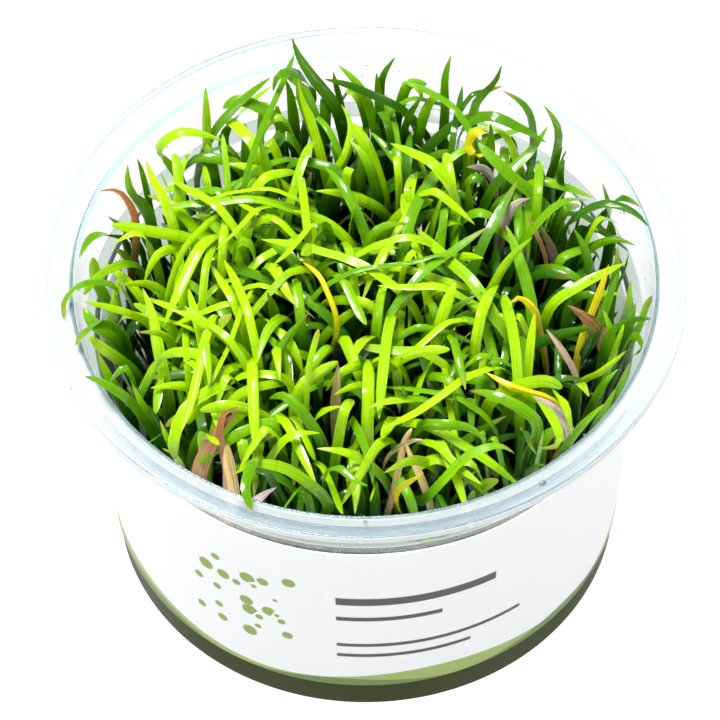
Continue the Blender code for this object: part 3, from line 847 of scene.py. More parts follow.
def leaf_line(leaf):
    """Places, sides and tops along a leaf, with their distances and how the rings crowd."""
    fine, fine_marks, marks = smooth_path(leaf["path"])
    run = distances_along(fine)
    slopes = np.gradient(fine, run, axis=0)
    slopes /= np.linalg.norm(slopes, axis=1, keepdims=True)
    sides = np.array(leaf["sides"])
    side = np.stack([np.interp(fine_marks, marks, sides[:, k]) for k in range(3)], 1)
    side -= np.sum(side * slopes, 1, keepdims=True) * slopes
    side /= np.linalg.norm(side, axis=1, keepdims=True)
    top = np.cross(side, slopes)
    middle = len(top) // 2
    if top[middle] @ np.array(leaf["tops"])[len(leaf["tops"]) // 2] < 0:
        top = -top
    bend = np.linalg.norm(np.diff(slopes, axis=0), axis=1) * (fine[1:, 2] > CROWDED_BELOW)
    crowd = np.append(0, np.cumsum(bend + EVEN_SPREAD * np.diff(run) / run[-1]))
    return {"run": run, "place": fine, "side": side, "top": top, "crowd": crowd}


def along_line(line, key, runs):
    """One of a line's vectors at some distances along it."""
    return np.stack([np.interp(runs, line["run"], line[key][:, k]) for k in range(3)], 1)


def bent_leaf(leaf):
    """The points of a leaf's pattern carried to its line, and their distances along it."""
    pattern = leaf["pattern"]
    points = pattern["points"]
    line = leaf_line(leaf)
    length = line["run"][-1]
    tip_length = min(pattern["tip_length"] * leaf["width"], 0.5 * length)
    crowd_end = np.interp(length - tip_length, line["run"], line["crowd"])
    blade = np.interp(np.linspace(0, crowd_end, BLADE_RINGS), line["crowd"], line["run"])
    rings = np.concatenate([blade, length - tip_length * np.array([*TIP_STEPS, 0])])
    runs = rings[points[:, 2].round().astype(int)]
    place, side, top = (along_line(line, key, runs) for key in ("place", "side", "top"))
    twist = leaf["twist"] * (runs / length)[:, None]
    side, top = np.cos(twist) * side + np.sin(twist) * top, np.cos(twist) * top - np.sin(twist) * side
    fold = leaf["fold"] * 4 * points[:, :1] ** 2
    bent = place + leaf["width"] * (points[:, :1] * side + (points[:, 1:2] + fold) * top)
    return bent, runs / length, length


# %% [markdown]
# The real mat is denser than the frame's, so further leaves are added below, and they pass
# each other as real ones do. A grid of small cells remembers where leaves already are. The
# stems near the crowns are crowded and hidden, so they are left out of it.

# %% A grid of cells that leaves take up
CELL = 0.5 * MM
GRID_SIZE = np.array((208, 208, 140))
GRID_LOW = np.array((-52.0, -52.0, 0.0)) * MM
ALONG = np.linspace(0.02, 1, 110)
ACROSS = np.linspace(-0.46, 0.46, 5)
taken = np.zeros(GRID_SIZE, bool)


def spread_out(places, sides, width):
    """Points all over a leaf, from places and sides along it."""
    return (places[:, None] + ACROSS[None, :, None] * width * sides[:, None]).reshape(-1, 3)


def cells_of(points):
    """Grid cells that hold the points, leaving out the crowded stems."""
    cells = ((points[points[:, 2] > CROWDED_BELOW] - GRID_LOW) / CELL).astype(int)
    return tuple(np.clip(cells, 0, GRID_SIZE - 1).T)


def take_cells(leaf):
    """Marks the cells of a leaf as taken."""
    line = leaf_line(leaf)
    runs = ALONG * line["run"][-1]
    points = spread_out(along_line(line, "place", runs), along_line(line, "side", runs), leaf["width"])
    taken[cells_of(points)] = True


for crown, leaves in plantlets.values():
    for leaf in leaves:
        take_cells(leaf)
print("cells taken by the frame's leaves:", int(taken.sum()))

# %% [markdown]
# Here and there a leaf has dried: some are clear yellow, some straw, some a pinkish brown.
# These are placed one by one, and so are the leaves that make the mat's edge. Each row has
# a dried tone or an age, which also carries painted shade, a width in millimetres, and points
# along the leaf: a pixel of the photograph, across and down, with a height in millimetres
# judged from the leaves around it.
# Each leaf still grows from the crown that stands nearest to it, and the leaves placed by
# lot later keep out of its line of sight.

# %% Dried leaves and leaves at the edge
YELLOW, STRAW, PINK, ROSY_BROWN, BROWN = 1.0, 2.0, 3.0, 3.5, 4.0
DRIED_LEAVES = (
    (YELLOW, 1.2, ((584, 333, 52), (597, 300, 56), (609, 264, 60))),
    (YELLOW, 1.3, ((539, 328, 53), (534, 310, 57), (518, 298, 59), (508, 306, 58))),
    (YELLOW, 1.3, ((485, 153, 56), (473, 155, 57), (468, 146, 58), (474, 134, 60), (488, 133, 60))),
    (YELLOW, 1.0, ((548, 398, 57), (515, 388, 59), (485, 372, 59))),
    (YELLOW, 0.9, ((331, 301, 58), (318, 275, 60), (302, 262, 60))),
    (YELLOW, 1.0, ((405, 484, 54), (414, 479, 56), (424, 472, 57))),
    (STRAW, 1.7, ((336, 403, 51), (337, 382, 55), (338, 362, 58))),
    (STRAW, 2.0, ((234, 490, 52), (230, 466, 55), (227, 444, 57))),
    (STRAW, 1.1, ((400, 461, 53), (404, 442, 55), (412, 428, 56))),
    (STRAW, 1.2, ((417, 469, 53), (409, 452, 55), (405, 440, 56))),
    (STRAW, 1.0, ((404, 444, 55), (414, 440, 56), (426, 441, 56))),
    (PINK, 2.1, ((500, 232, 51), (507, 215, 55), (518, 202, 58), (531, 198, 59))),
    (PINK, 1.8, ((484, 169, 55), (475, 167, 57), (466, 167, 58))),
    (ROSY_BROWN, 1.6, ((548, 240, 53), (544, 232, 55), (541, 225, 56))),
    (BROWN, 0.8, ((541, 243, 53), (534, 228, 55), (527, 214, 57))),
    (BROWN, 3.4, ((600, 333, 52), (588, 320, 55), (576, 310, 57), (567, 305, 58))),
    (PINK, 2.2, ((562, 419, 54), (548, 405, 57), (527, 394, 59))),
    (ROSY_BROWN, 1.0, ((564, 353, 54), (554, 339, 56), (546, 329, 57))),
    (PINK, 1.9, ((258, 499, 49), (268, 492, 51), (277, 487, 52))),
    (BROWN, 2.6, ((213, 440, 56), (222, 426, 58), (240, 412, 58))),
)
EDGE_LEAVES = (
    (0.65, 1.6, ((606, 369, 50), (612, 345, 53), (609, 325, 56), (603, 309, 57))),
    (0.85, 1.4, ((621, 352, 50), (627, 335, 53), (632, 318, 56), (636, 302, 58))),
    (0.75, 1.1, ((632, 340, 53), (640, 324, 56), (647, 308, 58), (652, 296, 60))),
    (0.25, 1.1, ((609, 368, 51), (616, 348, 54), (621, 333, 56), (625, 321, 57))),
    (0.85, 1.3, ((622, 352, 53), (631, 337, 57), (638, 337, 59), (642, 348, 59), (643, 360, 58))),
    (0.05, 1.1, ((585, 380, 52), (600, 373, 55), (615, 361, 57), (627, 350, 58))),
    (0.55, 1.4, ((612, 410, 48), (619, 392, 52), (626, 376, 55), (630, 362, 57))),
    (0.65, 1.3, ((592, 405, 50), (600, 390, 53), (609, 378, 56), (618, 369, 57))),
    (0.65, 1.6, ((590, 440, 48), (600, 422, 52), (610, 404, 55), (622, 390, 57))),
    (0.45, 1.3, ((566, 446, 50), (578, 430, 53), (592, 415, 56), (606, 404, 57))),
    (0.75, 1.5, ((608, 330, 46), (611, 300, 50), (616, 270, 54), (618, 245, 57))),
    (0.85, 1.5, ((592, 300, 48), (590, 270, 52), (583, 245, 55), (573, 228, 57))),
    (0.65, 1.4, ((575, 262, 50), (594, 246, 54), (612, 240, 57), (629, 241, 58))),
    (0.45, 1.3, ((131, 264, 54), (117, 266, 57), (101, 274, 58), (90, 285, 58), (84, 295, 57))),
    (0.05, 1.2, ((145, 321, 54), (128, 313, 57), (104, 306, 58), (78, 302, 58))),
    (0.65, 2.0, ((124, 350, 50), (108, 334, 54), (92, 322, 56), (79, 308, 57))),
    (0.15, 1.9, ((128, 366, 50), (112, 354, 54), (98, 344, 56), (86, 336, 57))),
    (0.35, 2.1, ((122, 402, 46), (112, 384, 50), (103, 366, 53), (97, 350, 55))),
    (0.15, 1.5, ((109, 330, 48), (113, 310, 52), (117, 290, 55), (120, 272, 58))),
    (0.05, 2.0, ((165, 382, 50), (157, 345, 54), (152, 315, 57), (142, 287, 59))),
    (0.75, 2.0, ((152, 240, 48), (150, 215, 52), (142, 199, 55), (130, 192, 57))),
    (0.45, 1.4, ((160, 440, 46), (150, 420, 50), (140, 400, 54), (132, 384, 56))),
    (0.25, 1.2, ((186, 470, 45), (176, 452, 49), (166, 436, 53), (160, 420, 55))),
    (1.2, 1.3, ((418, 124, 52), (400, 108, 56), (370, 94, 59), (345, 84, 61), (324, 79, 62))),
    (0.9, 1.0, ((345, 125, 50), (341, 103, 55), (336, 85, 60), (333, 71, 63))),
    (0.05, 1.5, ((330, 195, 46), (322, 160, 52), (312, 125, 57), (303, 98, 61), (298, 79, 64))),
    (0.05, 1.0, ((333, 175, 52), (346, 150, 56), (350, 123, 59), (341, 104, 61))),
    (0.0, 2.1, ((384, 200, 48), (374, 165, 54), (363, 140, 58), (352, 123, 60))),
    (0.8, 1.4, ((192, 172, 46), (209, 140, 53), (221, 122, 57), (246, 97, 61), (271, 77, 64))),
)
WIDEST = 48.3 * MM
WALL_CLEARANCE = 1.2 * MM
VIEW_CELLS = 240
view_depth = np.full((VIEW_CELLS, VIEW_CELLS), -np.inf)


def seen_cells(points):
    """Cells of the photograph's frame that show the points, and the points' nearness."""
    offsets = points - np.array(CAMERA_PLACE)
    depth = offsets @ np.array(forward)
    focal = VIEW_CELLS * CAMERA_LENS / SENSOR_WIDTH
    across = VIEW_CELLS / 2 + focal * (offsets @ np.array(right)) / depth
    down = VIEW_CELLS / 2 - focal * (offsets @ np.array(up)) / depth
    cells = np.clip(np.stack([down, across]).astype(int), 0, VIEW_CELLS - 1)
    return tuple(cells), -depth


def nearest_node(place):
    """The living plantlet whose crown stands nearest to a place."""
    living = [node for node in plantlets if node.startswith("tuft")]
    return min(living, key=lambda node: np.hypot(*(plantlets[node][0] - place)[:2]))


def room_at(height):
    """The largest radius that a leaf may reach at some heights, off the wall and the flange."""
    collar = np.interp(height, (LEDGE_Z, OPENING_Z), (inner_radius(LEDGE_Z), OPENING_RADIUS))
    walls = np.where(height < LEDGE_Z, wall_radius(height) - WALL, collar)
    return np.where(height < OPENING_Z + WALL_CLEARANCE, walls - WALL_CLEARANCE, WIDEST)


def kept_inside(place):
    """The place, drawn in towards the axis where it would touch the wall."""
    share = min(1.0, float(room_at(place[2])) / np.hypot(*place[:2]))
    return place * (share, share, 1)


def placed_leaf(width, pixels, looks):
    """A leaf from the nearest crown that shows where the pixels say, kept clear of others."""
    shown = [kept_inside(under_pixel(across, down, height * MM)) for across, down, height in pixels]
    crown, leaves = plantlets[nearest_node(shown[0])]
    rise = crown + np.array((0, 0, 0.4 * (shown[0][2] - crown[2])))
    path = [crown, 0.75 * rise + 0.25 * np.array((*shown[0][:2], rise[2])), *shown]
    across_line = unit(np.cross(shown[-1] - shown[0], forward))
    sides = [across_line] * len(path)
    leaf = {"path": path, "sides": sides, "tops": [-np.array(forward)] * len(path)}
    leaf.update(width=width * MM, **looks)
    take_cells(leaf)
    leaves.append(leaf)
    line = leaf_line(leaf)
    runs = np.linspace(0.6, 1, 60) * line["run"][-1]
    spread = spread_out(along_line(line, "place", runs), along_line(line, "side", runs), width * MM)
    cells, nearness = seen_cells(spread)
    np.maximum.at(view_depth, cells, nearness)


for tone_number, width, pixels in DRIED_LEAVES:
    placed_leaf(width, pixels, {"dried": tone_number})
for age, width, pixels in EDGE_LEAVES:
    placed_leaf(width, pixels, {"age": age})
print("dried leaves:", len(DRIED_LEAVES), "leaves at the edge:", len(EDGE_LEAVES))

# %% [markdown]
# Every crown also grows a handful of leaves by lot. Some arch over the mat and lie nearly
# level, some nod, some curl into a hook, some stand upright and some lean on the wall. For
# each kind, crest, reach and droop are ranges in millimetres, and out and up say how far the
# line has come at three places on its way. A leaf that would run into others, into the wall
# or into the flange is drawn again, and so is one that would hide a placed leaf.

# %% Draw further leaves by lot
SEED = 7
MORE_LEAVES = 15
WALL_LEAVES = 9
TRIES = 110
LATE_SHRINK = 0.4
SHARED_CELLS = 0.06
MAT_RADIUS = 43.0 * MM
OUTER_CROWNS = 24.0 * MM
WIDTHS = (1.1 * MM, 1.9 * MM)
TALLEST = 66.0 * MM
WALL_REACH = (38.0, 42.0)
OVERHANG_FROM = OPENING_RADIUS - 2 * MM
OVERHANG_WIDTH = 0.8
MAT_TOP, MAT_LOW = 58.0 * MM, 44 * MM
POINTED_SHARE = 0.72
STEM_REACH = 2.2 * MM
RANGES = {
    "arching": {"crest": (51, 61), "reach": (14, 31), "droop": (-1, 6)},
    "nodding": {"crest": (42, 60), "reach": (7, 20), "droop": (3, 16)},
    "hooked": {"crest": (44, 60), "reach": (4, 9), "droop": (3, 7)},
    "upright": {"crest": (42, 62), "reach": (2, 10), "droop": (0, 0)},
    "walling": {"crest": (42, 61), "reach": (0, 0), "droop": (-1, 3)},
}
BENDS = {
    "arching": {"out": (0.13, 0.40, 0.74), "up": (0.86, 1.0, 1.0)},
    "nodding": {"out": (0.22, 0.50, 0.76), "up": (0.80, 0.99, 1.0)},
    "hooked": {"out": (0.08, 0.25, 0.72), "up": (0.74, 0.96, 1.03)},
    "upright": {"out": (0.25, 0.45, 0.68), "up": (0.62, 0.80, 0.92)},
    "walling": {"out": (0.45, 0.75, 0.93), "up": (0.55, 0.78, 0.93)},
}
KIND_ODDS = {"arching": 0.42, "nodding": 0.24, "hooked": 0.12, "upright": 0.22}
KNOTS = 6
rng = random.Random(SEED)


def spline_weights(knots, count):
    """Weights that turn a few points into many on a smooth line through them."""
    rows = np.zeros((count, knots))
    for row, u in zip(rows, np.linspace(0, knots - 1, count)):
        k = min(int(u), knots - 2)
        t = u - k
        shares = (
            (-t + 2 * t**2 - t**3) / 2,
            (2 - 5 * t**2 + 3 * t**3) / 2,
            (t + 4 * t**2 - 3 * t**3) / 2,
            (-(t**2) + t**3) / 2,
        )
        for knot, share in zip(range(k - 1, k + 3), shares):
            if knot < 0:
                row[0] += 2 * share
                row[1] -= share
            elif knot >= knots:
                row[-1] += 2 * share
                row[-2] -= share
            else:
                row[knot] += share
    return rows


SPLINE = spline_weights(KNOTS, len(ALONG))
EVEN_KNOTS = np.linspace(0, KNOTS - 1, len(ALONG))
STRAIGHT = np.stack([np.interp(EVEN_KNOTS, range(KNOTS), row) for row in np.eye(KNOTS)], 1)


def in_cup(points):
    """True if the points stay off the wall and the flange, and in the frame's box."""
    radius = np.hypot(points[:, 0], points[:, 1])
    height = points[:, 2]
    return bool((radius < room_at(height)).all() and height.max() < TALLEST)


def smooth_step(value, low, high):
    """A soft step from 0 at one value to 1 at another."""
    share = min(1.0, max(0.0, (value - low) / (high - low)))
    return share * share * (3 - 2 * share)


def dressed(leaf):
    """The leaf with its own pattern, fold, twist, age and tint. Its age also carries painted shade: leaves
    low, behind, at the right or at the wall are darker, leaves at the left and front lighter.
    """
    path = np.array(leaf["path"])
    x, y, height = path[path[:, 2].argmax()]
    if math.hypot(*path[-1][:2]) > OVERHANG_FROM and not {"age", "dried"} & set(leaf):
        # Painted shade: an overhanging leaf is dark, and darker towards the right.
        leaf["age"] = 0.75 + 0.35 * smooth_step(x, -20 * MM, 20 * MM)
        leaf["width"] *= OVERHANG_WIDTH
    # Painted light and shade: darker towards the right and the back, lighter towards the left and the
    # front, and a little darker at the wall.
    shaded_side = 0.22 * smooth_step(x, 8 * MM, 40 * MM) + 0.26 * smooth_step(y, 12 * MM, 42 * MM)
    lit_side = 0.34 * smooth_step(x, -8 * MM, -28 * MM) + 0.12 * smooth_step(y, -8 * MM, -32 * MM)
    at_wall = smooth_step(math.hypot(x, y), 36 * MM, MAT_RADIUS)
    leaf["pattern"] = POINTED_LEAF if rng.random() < POINTED_SHARE else BLUNT_LEAF
    leaf["fold"] = rng.uniform(-0.24, 0.12)
    leaf["twist"] = rng.uniform(-0.5, 0.5)
    # Painted shade: a leaf that crests lower in the mat is darker.
    age = 0.82 * rng.random() ** 1.25 + 0.40 * smooth_step(height, MAT_TOP, MAT_LOW)
    leaf.setdefault("age", age + shaded_side - lit_side + 0.08 * at_wall)
    leaf["tint"] = rng.random()
    leaf.setdefault("dried", 0.0)
    return leaf


def flat_direction(angle):
    """Level unit vector at an angle from +X."""
    return np.array((math.cos(angle), math.sin(angle), 0.0))


def room_to_edge(place, lean, radius=MAT_RADIUS):
    """Level distance from a place to a circle about the axis, along a lean."""
    along = place[:2] @ lean[:2]
    return math.sqrt(max(0, along**2 + radius**2 - place[:2] @ place[:2])) - along


def drawn(kind, key):
    """A length drawn from one of a kind's ranges."""
    return rng.uniform(*RANGES[kind][key]) * MM


def grown_leaf(crown, kind, shrink):
    """One more leaf from a crown: up, over a crest and out to its tip."""
    azimuth = rng.uniform(0, 2 * math.pi)
    out = flat_direction(azimuth)
    lean = flat_direction(azimuth + rng.uniform(-0.9, 0.9))
    reach = min(drawn(kind, "reach"), room_to_edge(crown, lean)) * shrink
    if kind == "walling":
        lean = flat_direction(math.atan2(crown[1], crown[0]) + rng.uniform(-0.8, 0.8))
        reach = room_to_edge(crown, lean, rng.uniform(*WALL_REACH) * MM)
    across = np.array((-lean[1], lean[0], 0))
    crest = drawn(kind, "crest") * shrink
    droop = drawn(kind, "droop") * shrink
    curl = rng.uniform(-0.25, 0.25) * reach
    level = crown * (1, 1, 0)
    outs, ups = BENDS[kind]["out"], BENDS[kind]["up"]
    path = [crown + MM * out + (0, 0, MM), level + STEM_REACH * out + (0, 0, 0.38 * crest)]
    for far, high, curled, drooped in (
        (outs[0], ups[0], 0, 0),
        (outs[1], ups[1], 0.25, 0),
        (outs[2], ups[2], 0.60, 0.3),
        (1, 1, 1, 1),
    ):
        aside = curled * curl * across
        path.append(level + far * reach * lean + aside + (0, 0, high * crest - drooped * droop))
    flat_side = flat_direction(azimuth + math.pi / 2)
    late_side = unit(across + (0, 0, rng.uniform(-0.6, 0.6)))
    sides = [flat_side, flat_side, unit(flat_side + late_side), late_side, late_side, late_side]
    return {"path": SPLINE @ path, "sides": STRAIGHT @ sides, "width": rng.uniform(*WIDTHS)}


def try_leaf(crown, walling=False):
    """A further leaf that finds room, or None."""
    kind = "walling"
    if not walling:
        kind = rng.choices(list(KIND_ODDS), list(KIND_ODDS.values()))[0]
    for attempt in range(TRIES):
        leaf = grown_leaf(crown, kind, 1 - LATE_SHRINK * max(0.0, 2 * attempt / TRIES - 1))
        if not in_cup(leaf["path"]):
            continue
        spread = spread_out(leaf["path"], leaf["sides"], leaf["width"])
        cells = cells_of(spread)
        seen, nearness = seen_cells(spread)
        before_dried = np.isfinite(view_depth[seen]) & (nearness > view_depth[seen])
        if taken[cells].mean() < SHARED_CELLS and not before_dried.any():
            taken[cells] = True
            leaf["tops"] = np.tile((0.0, 0.0, 1.0), (len(ALONG), 1))
            return dressed(leaf)
    return None


for crown, leaves in plantlets.values():
    for leaf in leaves:
        dressed(leaf)
added = 0
for node, (crown, leaves) in plantlets.items():
    if node.startswith("withered"):
        continue
    outer = math.hypot(*crown[:2]) > OUTER_CROWNS
    plan = [False] * MORE_LEAVES + [True] * (WALL_LEAVES if outer else 0)
    grown = [leaf for leaf in (try_leaf(crown, walling) for walling in plan) if leaf]
    leaves.extend(grown)
    added += len(grown)
print("further leaves:", added)

# %% [markdown]
# A living leaf is lime where it is young and lit, and deep green where it is old. Low in the
# mat it is darkened with painted shade, down to a near-black deep tone.
# Fine veins run along it, and faint bars cross it, which mark this genus. The surface is
# waxy in patches and slightly uneven, so a lamp leaves small crisp lights on it. The wax
# is a coat whose weight changes along the leaf.

# %% Leaf finish
DRIED_TONES = (
    (0.92, 0.78, 0.01, 1),
    (0.72, 0.52, 0.22, 1),
    (0.90, 0.68, 0.63, 1),
    (0.56, 0.27, 0.10, 1),
)
# Living tones: young, grown, old, and a deep tone that is painted shade low in the mat.
LIVING = (
    (0.43, 0.76, 0.002, 1),
    (0.16, 0.42, 0.002, 1),
    (0.035, 0.15, 0.002, 1),
    (0.004, 0.03, 0.001, 1),
)
# Withered tones in the same order; the last is painted shade low in the mat.
WITHERED = (
    (0.62, 0.42, 0.34, 1),
    (0.46, 0.26, 0.12, 1),
    (0.30, 0.13, 0.05, 1),
    (0.10, 0.05, 0.02, 1),
)
RUST_TONE = (0.27, 0.09, 0.012, 1)
TIP_TONE = (0.42, 0.30, 0.08, 1)
BAR_SPACING = 0.52
LEAF_LOOK = {
    "Coat Roughness": 0.1,
    "Subsurface Weight": 0.15,
    "Subsurface Radius": (0.6, 1.0, 0.2),
    "Subsurface Scale": 0.6 * MM,
    "Specular IOR Level": 0.17,
}


def leaf_mark(tree, key):
    """A number that each leaf carries."""
    return add_node(tree, "ShaderNodeAttribute", attribute_name=key).outputs["Fac"]


def leaf_noise(tree, paces):
    """Noise on the leaf's own map: its paces across, along and from leaf to leaf."""
    leaf_map = add_node(tree, "ShaderNodeUVMap", uv_map="leaf").outputs["UV"]
    across, along, _ = split_axes(tree, leaf_map)
    sides = [times(tree, side, pace) for side, pace in zip((across, along, leaf_mark(tree, "tint")), paces)]
    place = add_node(tree, "ShaderNodeCombineXYZ", dict(enumerate(sides))).outputs[0]
    return noise(tree, place, 1.0)


def leaf_tone(tree, young, grown, old, deep):
    """A leaf's colour from its age and its drying, darkened with painted shade the lower it lies in the
    mat.
    """
    place = object_place(tree)
    height = split_axes(tree, place)[2]
    dried = leaf_mark(tree, "dried")
    shade = times_plus(tree, noise(tree, place, 120.0, detail=3.0), 0.30, leaf_mark(tree, "age"))
    # Painted shade: leaves darken from 57 mm down to 45 mm.
    shade = times_plus(tree, ramp(tree, height, 57 * MM, 45 * MM), 0.75, shade)
    tone = mix_colour(tree, ramp(tree, shade, 0.30, 0.85), young, grown)
    tone = mix_colour(tree, ramp(tree, shade, 0.75, 1.35), tone, old)
    for step, colour in enumerate(DRIED_TONES):
        tone = mix_colour(tree, ramp(tree, dried, step, step + 1), tone, colour)
    # Painted shade: below 52 mm the colour sinks into the deep tone, all of it by 36 mm.
    return mix_colour(tree, ramp(tree, height, 52 * MM, 36 * MM), tone, deep)


def leaf_material(name, tones, rust=0.0, roughness=0.3):
    """A leaf's finish from four tones: young, grown, old and deep, with rust towards the tip. The deep tone
    is painted shade low in the mat, and also darkens the streaks and bars.
    """
    made, tree = new_material(name)
    tone, deep = leaf_tone(tree, *tones), tones[-1]
    streak = leaf_noise(tree, (7.0, 0.9, 40.0))
    wither = ramp(tree, leaf_mark(tree, "dried"), 0.5, 2.0, 0.22, 0.55)
    tone = mix_colour(tree, times(tree, ramp(tree, streak, 0.42, 0.68), wither), tone, deep)
    leaf_map = add_node(tree, "ShaderNodeUVMap", uv_map="leaf").outputs["UV"]
    bar_wave = times(tree, split_axes(tree, leaf_map)[1], 2 * math.pi / BAR_SPACING)
    bars = ramp(tree, sum_node(tree, "SINE", bar_wave), 0.9, 1.0)
    tone = mix_colour(tree, times(tree, bars, 0.10), tone, deep)
    share = leaf_mark(tree, "share")
    if rust:
        tone = mix_colour(tree, ramp(tree, share, 0.70, 0.86, 0.0, rust), tone, RUST_TONE)
    tip = times(tree, ramp(tree, share, 0.93, 1.0), ramp(tree, leaf_mark(tree, "tint"), 0.5, 0.9))
    tone = mix_colour(tree, times(tree, tip, 0.6), tone, TIP_TONE)
    place = object_place(tree)
    relief = times_plus(tree, streak, 0.8, noise(tree, place, 2400.0))
    relief = times_plus(tree, noise(tree, place, 1000.0, detail=1.0), 2.0, relief)
    wax = ramp(tree, leaf_noise(tree, (2.4, 3.2, 60.0)), 0.42, 0.56)
    look = {"Base Color": tone, "Normal": bump(tree, relief, 0.35, 0.06 * MM), "Coat Weight": wax}
    set_shader(tree, {**LEAF_LOOK, **look, "Roughness": roughness})
    return made


living_leaf = leaf_material("living_leaf", LIVING)
withered_leaf = leaf_material("withered_leaf", WITHERED, rust=0.9, roughness=0.4)
print("leaf tones:", len(LIVING) + len(WITHERED) + len(DRIED_TONES))

# %% [markdown]
# Each plantlet stands on a small crown, a bulb from which its leaves rise. It is modelled
# like a leaf, by extruding a ring, but short and round. Its rings have a level and a width
# each, on a crown one unit wide.

# %% Crown pattern
CROWN_SIDES = 7
CROWN_WIDTH = 3.4 * MM
CROWN_RINGS = ((0, 0.84), (0.5, 1.0), (0.9, 0.9), (1.2, 0.55))

start_ring(CROWN_SIDES, CROWN_RINGS[0][1] / 2)
for (level, width), (next_level, next_width) in zip(CROWN_RINGS, CROWN_RINGS[1:]):
    grow_ring(next_level - level, next_width / width, next_level)
crown_points, crown_faces = points_and_faces()
print("a crown has", len(crown_faces), "faces")

# %% [markdown]
# Now the plantlets are put together. The leaves of one plantlet become one mesh, made from
# arrays, that stands for the plain plantlet of the frame. Each leaf carries its age together
# with its painted shade, its tint and how far along it a point lies, and a map of the leaf for
# its veins and bars.

# %% Build the plantlets
UV_LENGTH = 10 * MM
LEAF_EDGE = math.radians(70)


def new_piece(name, points, faces, finish):
    """A smooth object from lists of points and faces."""
    mesh = bpy.data.meshes.new(name)
    mesh.from_pydata(np.concatenate(points), [], faces)
    mesh.shade_smooth()
    mesh.materials.append(finish)
    made = bpy.data.objects.new(name, mesh)
    bpy.context.scene.collection.objects.link(made)
    return made


def build_plantlet(name, crown, leaves, finish):
    """One mesh from the crown and all leaves of a plantlet."""
    points = [crown + CROWN_WIDTH * crown_points]
    faces = list(crown_faces)
    count = len(crown_points)
    maps = [np.zeros((count, 2))]
    marks = {key: [np.zeros(count)] for key in ("age", "tint", "dried", "share")}
    for leaf in leaves:
        pattern = leaf["pattern"]
        bent, shares, length = bent_leaf(leaf)
        points.append(bent)
        faces += [tuple(count + corner for corner in face) for face in pattern["faces"]]
        maps.append(np.stack([pattern["points"][:, 0] + 0.5, shares * length / UV_LENGTH], 1))
        for key in ("age", "tint", "dried"):
            marks[key].append(np.full(len(bent), leaf[key]))
        marks["share"].append(shares)
        count += len(bent)
    made = new_piece(name, points, faces, finish)
    mesh = made.data
    for key, values in marks.items():
        attribute = mesh.attributes.new(key, "FLOAT", "POINT")
        attribute.data.foreach_set("value", np.concatenate(values).astype(np.float32))
    corners = np.empty(len(mesh.loops), np.int32)
    mesh.loops.foreach_get("vertex_index", corners)
    layer = mesh.uv_layers.new(name="leaf")
    layer.data.foreach_set("uv", np.concatenate(maps)[corners].astype(np.float32).ravel())
    mesh.set_sharp_from_angle(angle=LEAF_EDGE)
    return made


faces_made = 0
for node, (crown, leaves) in plantlets.items():
    dry = node.startswith("withered")
    name = node.replace("tuft", "plantlet") if not dry else node.replace("withered", "dead_plantlet")
    plantlet = build_plantlet(name, crown, leaves, withered_leaf if dry else living_leaf)
    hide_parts(node)
    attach(plantlet, "root")
    faces_made += len(plantlet.data.polygons)
print("plantlets:", len(plantlets), "faces:", faces_made)

# %% [markdown]
# The cup has stood closed, so water clings to it: beads in short rows inside the collar, a
# few drops on the flange, and small ones on the leaves. One drop is modelled as a sphere cut
# by a plane and flattened, and copied with its own size and stretch. Rows of drops that run
# together give the wavy outlines seen through the collar. A bit of leaf sticks to the wall
# in the same way, just above the ledge. The drops on the flange have a pixel each, across and
# down, and a width in millimetres. The bit of leaf has an angle, a height, a width and a
# stretch.

# %% Drops of water
DROP_CUT = -0.1
DROP_HEIGHT = 0.62
DROP_SEED = 11
COLLAR_ROWS = 26
COLLAR_SPECKS = 40
COLLAR_SPREAD = 0.55
DROP_SINK = 0.02 * MM
LEAF_DROPS = 260
DROPS_ABOVE = 44 * MM
LEAF_BIT = (0.217, 48.1 * MM, 1.1 * MM, 1.7)
FLANGE_DROPS = (
    (542.8, 484, 1.3), (516, 480, 0.5), (585, 432, 0.5), (104, 420, 0.4),
    (71, 392, 0.4), (365.6, 521, 0.8), (365.8, 528, 0.7), (648, 318, 0.4),
)


deselect_all()
bpy.ops.mesh.primitive_uv_sphere_add(segments=8, ring_count=6, radius=0.5)
bpy.ops.object.mode_set(mode="EDIT")
bpy.ops.mesh.select_all(action="SELECT")
bpy.ops.mesh.bisect(plane_co=(0, 0, DROP_CUT), plane_no=(0, 0, 1), clear_inner=True, use_fill=True)
bpy.ops.mesh.select_all(action="SELECT")
bpy.ops.transform.resize(value=(1, 1, DROP_HEIGHT), center_override=(0, 0, 0))
drop_points, drop_faces = points_and_faces()


def build_drops(name, spots, finish):
    """One mesh of drops, each with a place, a normal, a run, a width and a stretch."""
    points, faces = [], []
    for place, normal, run, width, stretch in spots:
        run = unit(run - (run @ normal) * normal)
        basis = np.stack([stretch * run, np.cross(normal, run), normal])
        faces += [tuple(len(points) * len(drop_points) + corner for corner in face) for face in drop_faces]
        points.append(place + width * drop_points @ basis)
    made = new_piece(name, points, faces, finish)
    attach(made, "root")
    print(name, "holds", len(spots), "drops")


water, tree = new_material("water")
set_shader(tree, {"Transmission Weight": 1.0, "IOR": 1.33, "Roughness": 0.0})
drop_rng = random.Random(DROP_SEED)


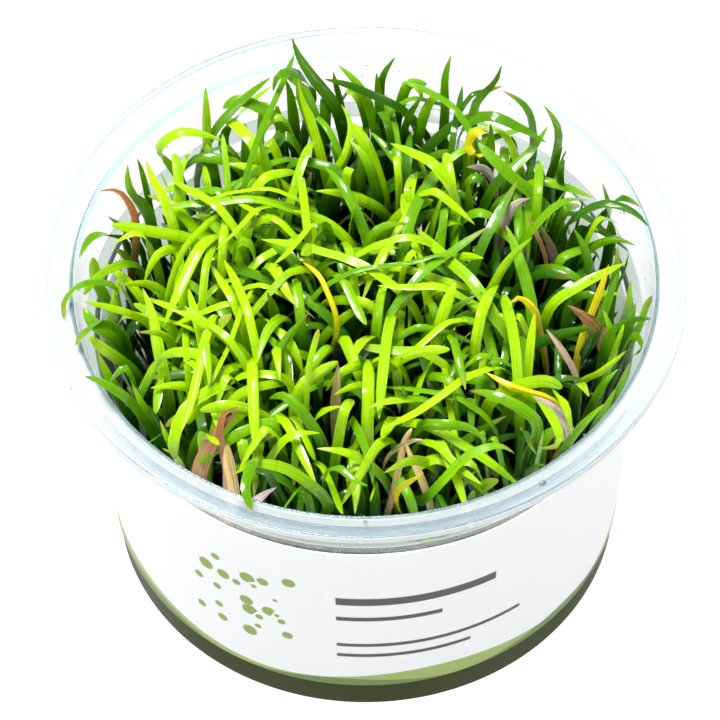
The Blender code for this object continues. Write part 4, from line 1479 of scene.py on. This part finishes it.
def on_collar(turn, height, width, stretch):
    """A drop on the inside of the collar."""
    out = np.array((math.sin(turn), -math.cos(turn), 0.0))
    place = (inner_radius(height) - DROP_SINK) * out + (0, 0, height)
    return place, -out, np.cross(out, (0, 0, 1)), width, stretch


collar_spots = []
for _ in range(COLLAR_ROWS):
    turn = drop_rng.gauss(0, COLLAR_SPREAD)
    height = drop_rng.uniform(49.5, 54.5) * MM
    for _ in range(drop_rng.randint(2, 6)):
        turn += drop_rng.uniform(0.012, 0.03)
        height += drop_rng.uniform(-0.4, 0.4) * MM
        width = drop_rng.uniform(0.4, 1.2) * MM
        collar_spots.append(on_collar(turn, height, width, drop_rng.uniform(1.0, 2.0)))
for _ in range(COLLAR_SPECKS):
    turn = drop_rng.uniform(-math.pi, math.pi)
    height = drop_rng.uniform(49, 56) * MM
    collar_spots.append(on_collar(turn, height, drop_rng.uniform(0.2, 0.5) * MM, 1.0))
build_drops("collar_drops", collar_spots, water)

UPWARD = np.array((0.0, 0.0, 1.0))
flange_spots = []
for across, down, width in FLANGE_DROPS:
    place = under_pixel(across, down, CUP_HEIGHT - MM)
    place[2] = flange_height(np.hypot(*place[:2]))
    flange_spots.append((place, UPWARD, np.array((1.0, 0, 0)), width * MM, 1.0))
build_drops("flange_drops", flange_spots, water)

leaf_spots = []
living_leaves = [
    leaf for node, (_, leaves) in plantlets.items() if node.startswith("tuft") for leaf in leaves
]
for leaf in drop_rng.sample(living_leaves, LEAF_DROPS):
    line = leaf_line(leaf)
    share = drop_rng.uniform(0.5, 0.94)
    runs = np.array([share * line["run"][-1]])
    place, side, top = (along_line(line, key, runs)[0] for key in ("place", "side", "top"))
    twist = leaf["twist"] * share
    top = math.cos(twist) * top - math.sin(twist) * side
    top *= 1 if top[2] > 0 else -1
    if place[2] > DROPS_ABOVE:
        place = place + 0.5 * LEAF_THICKNESS * leaf["width"] * top
        leaf_spots.append((place, top, side, drop_rng.uniform(0.22, 0.55) * MM, drop_rng.uniform(1, 1.5)))
build_drops("leaf_drops", leaf_spots, water)
build_drops("leaf_bit", [on_collar(*LEAF_BIT)], living_leaf)
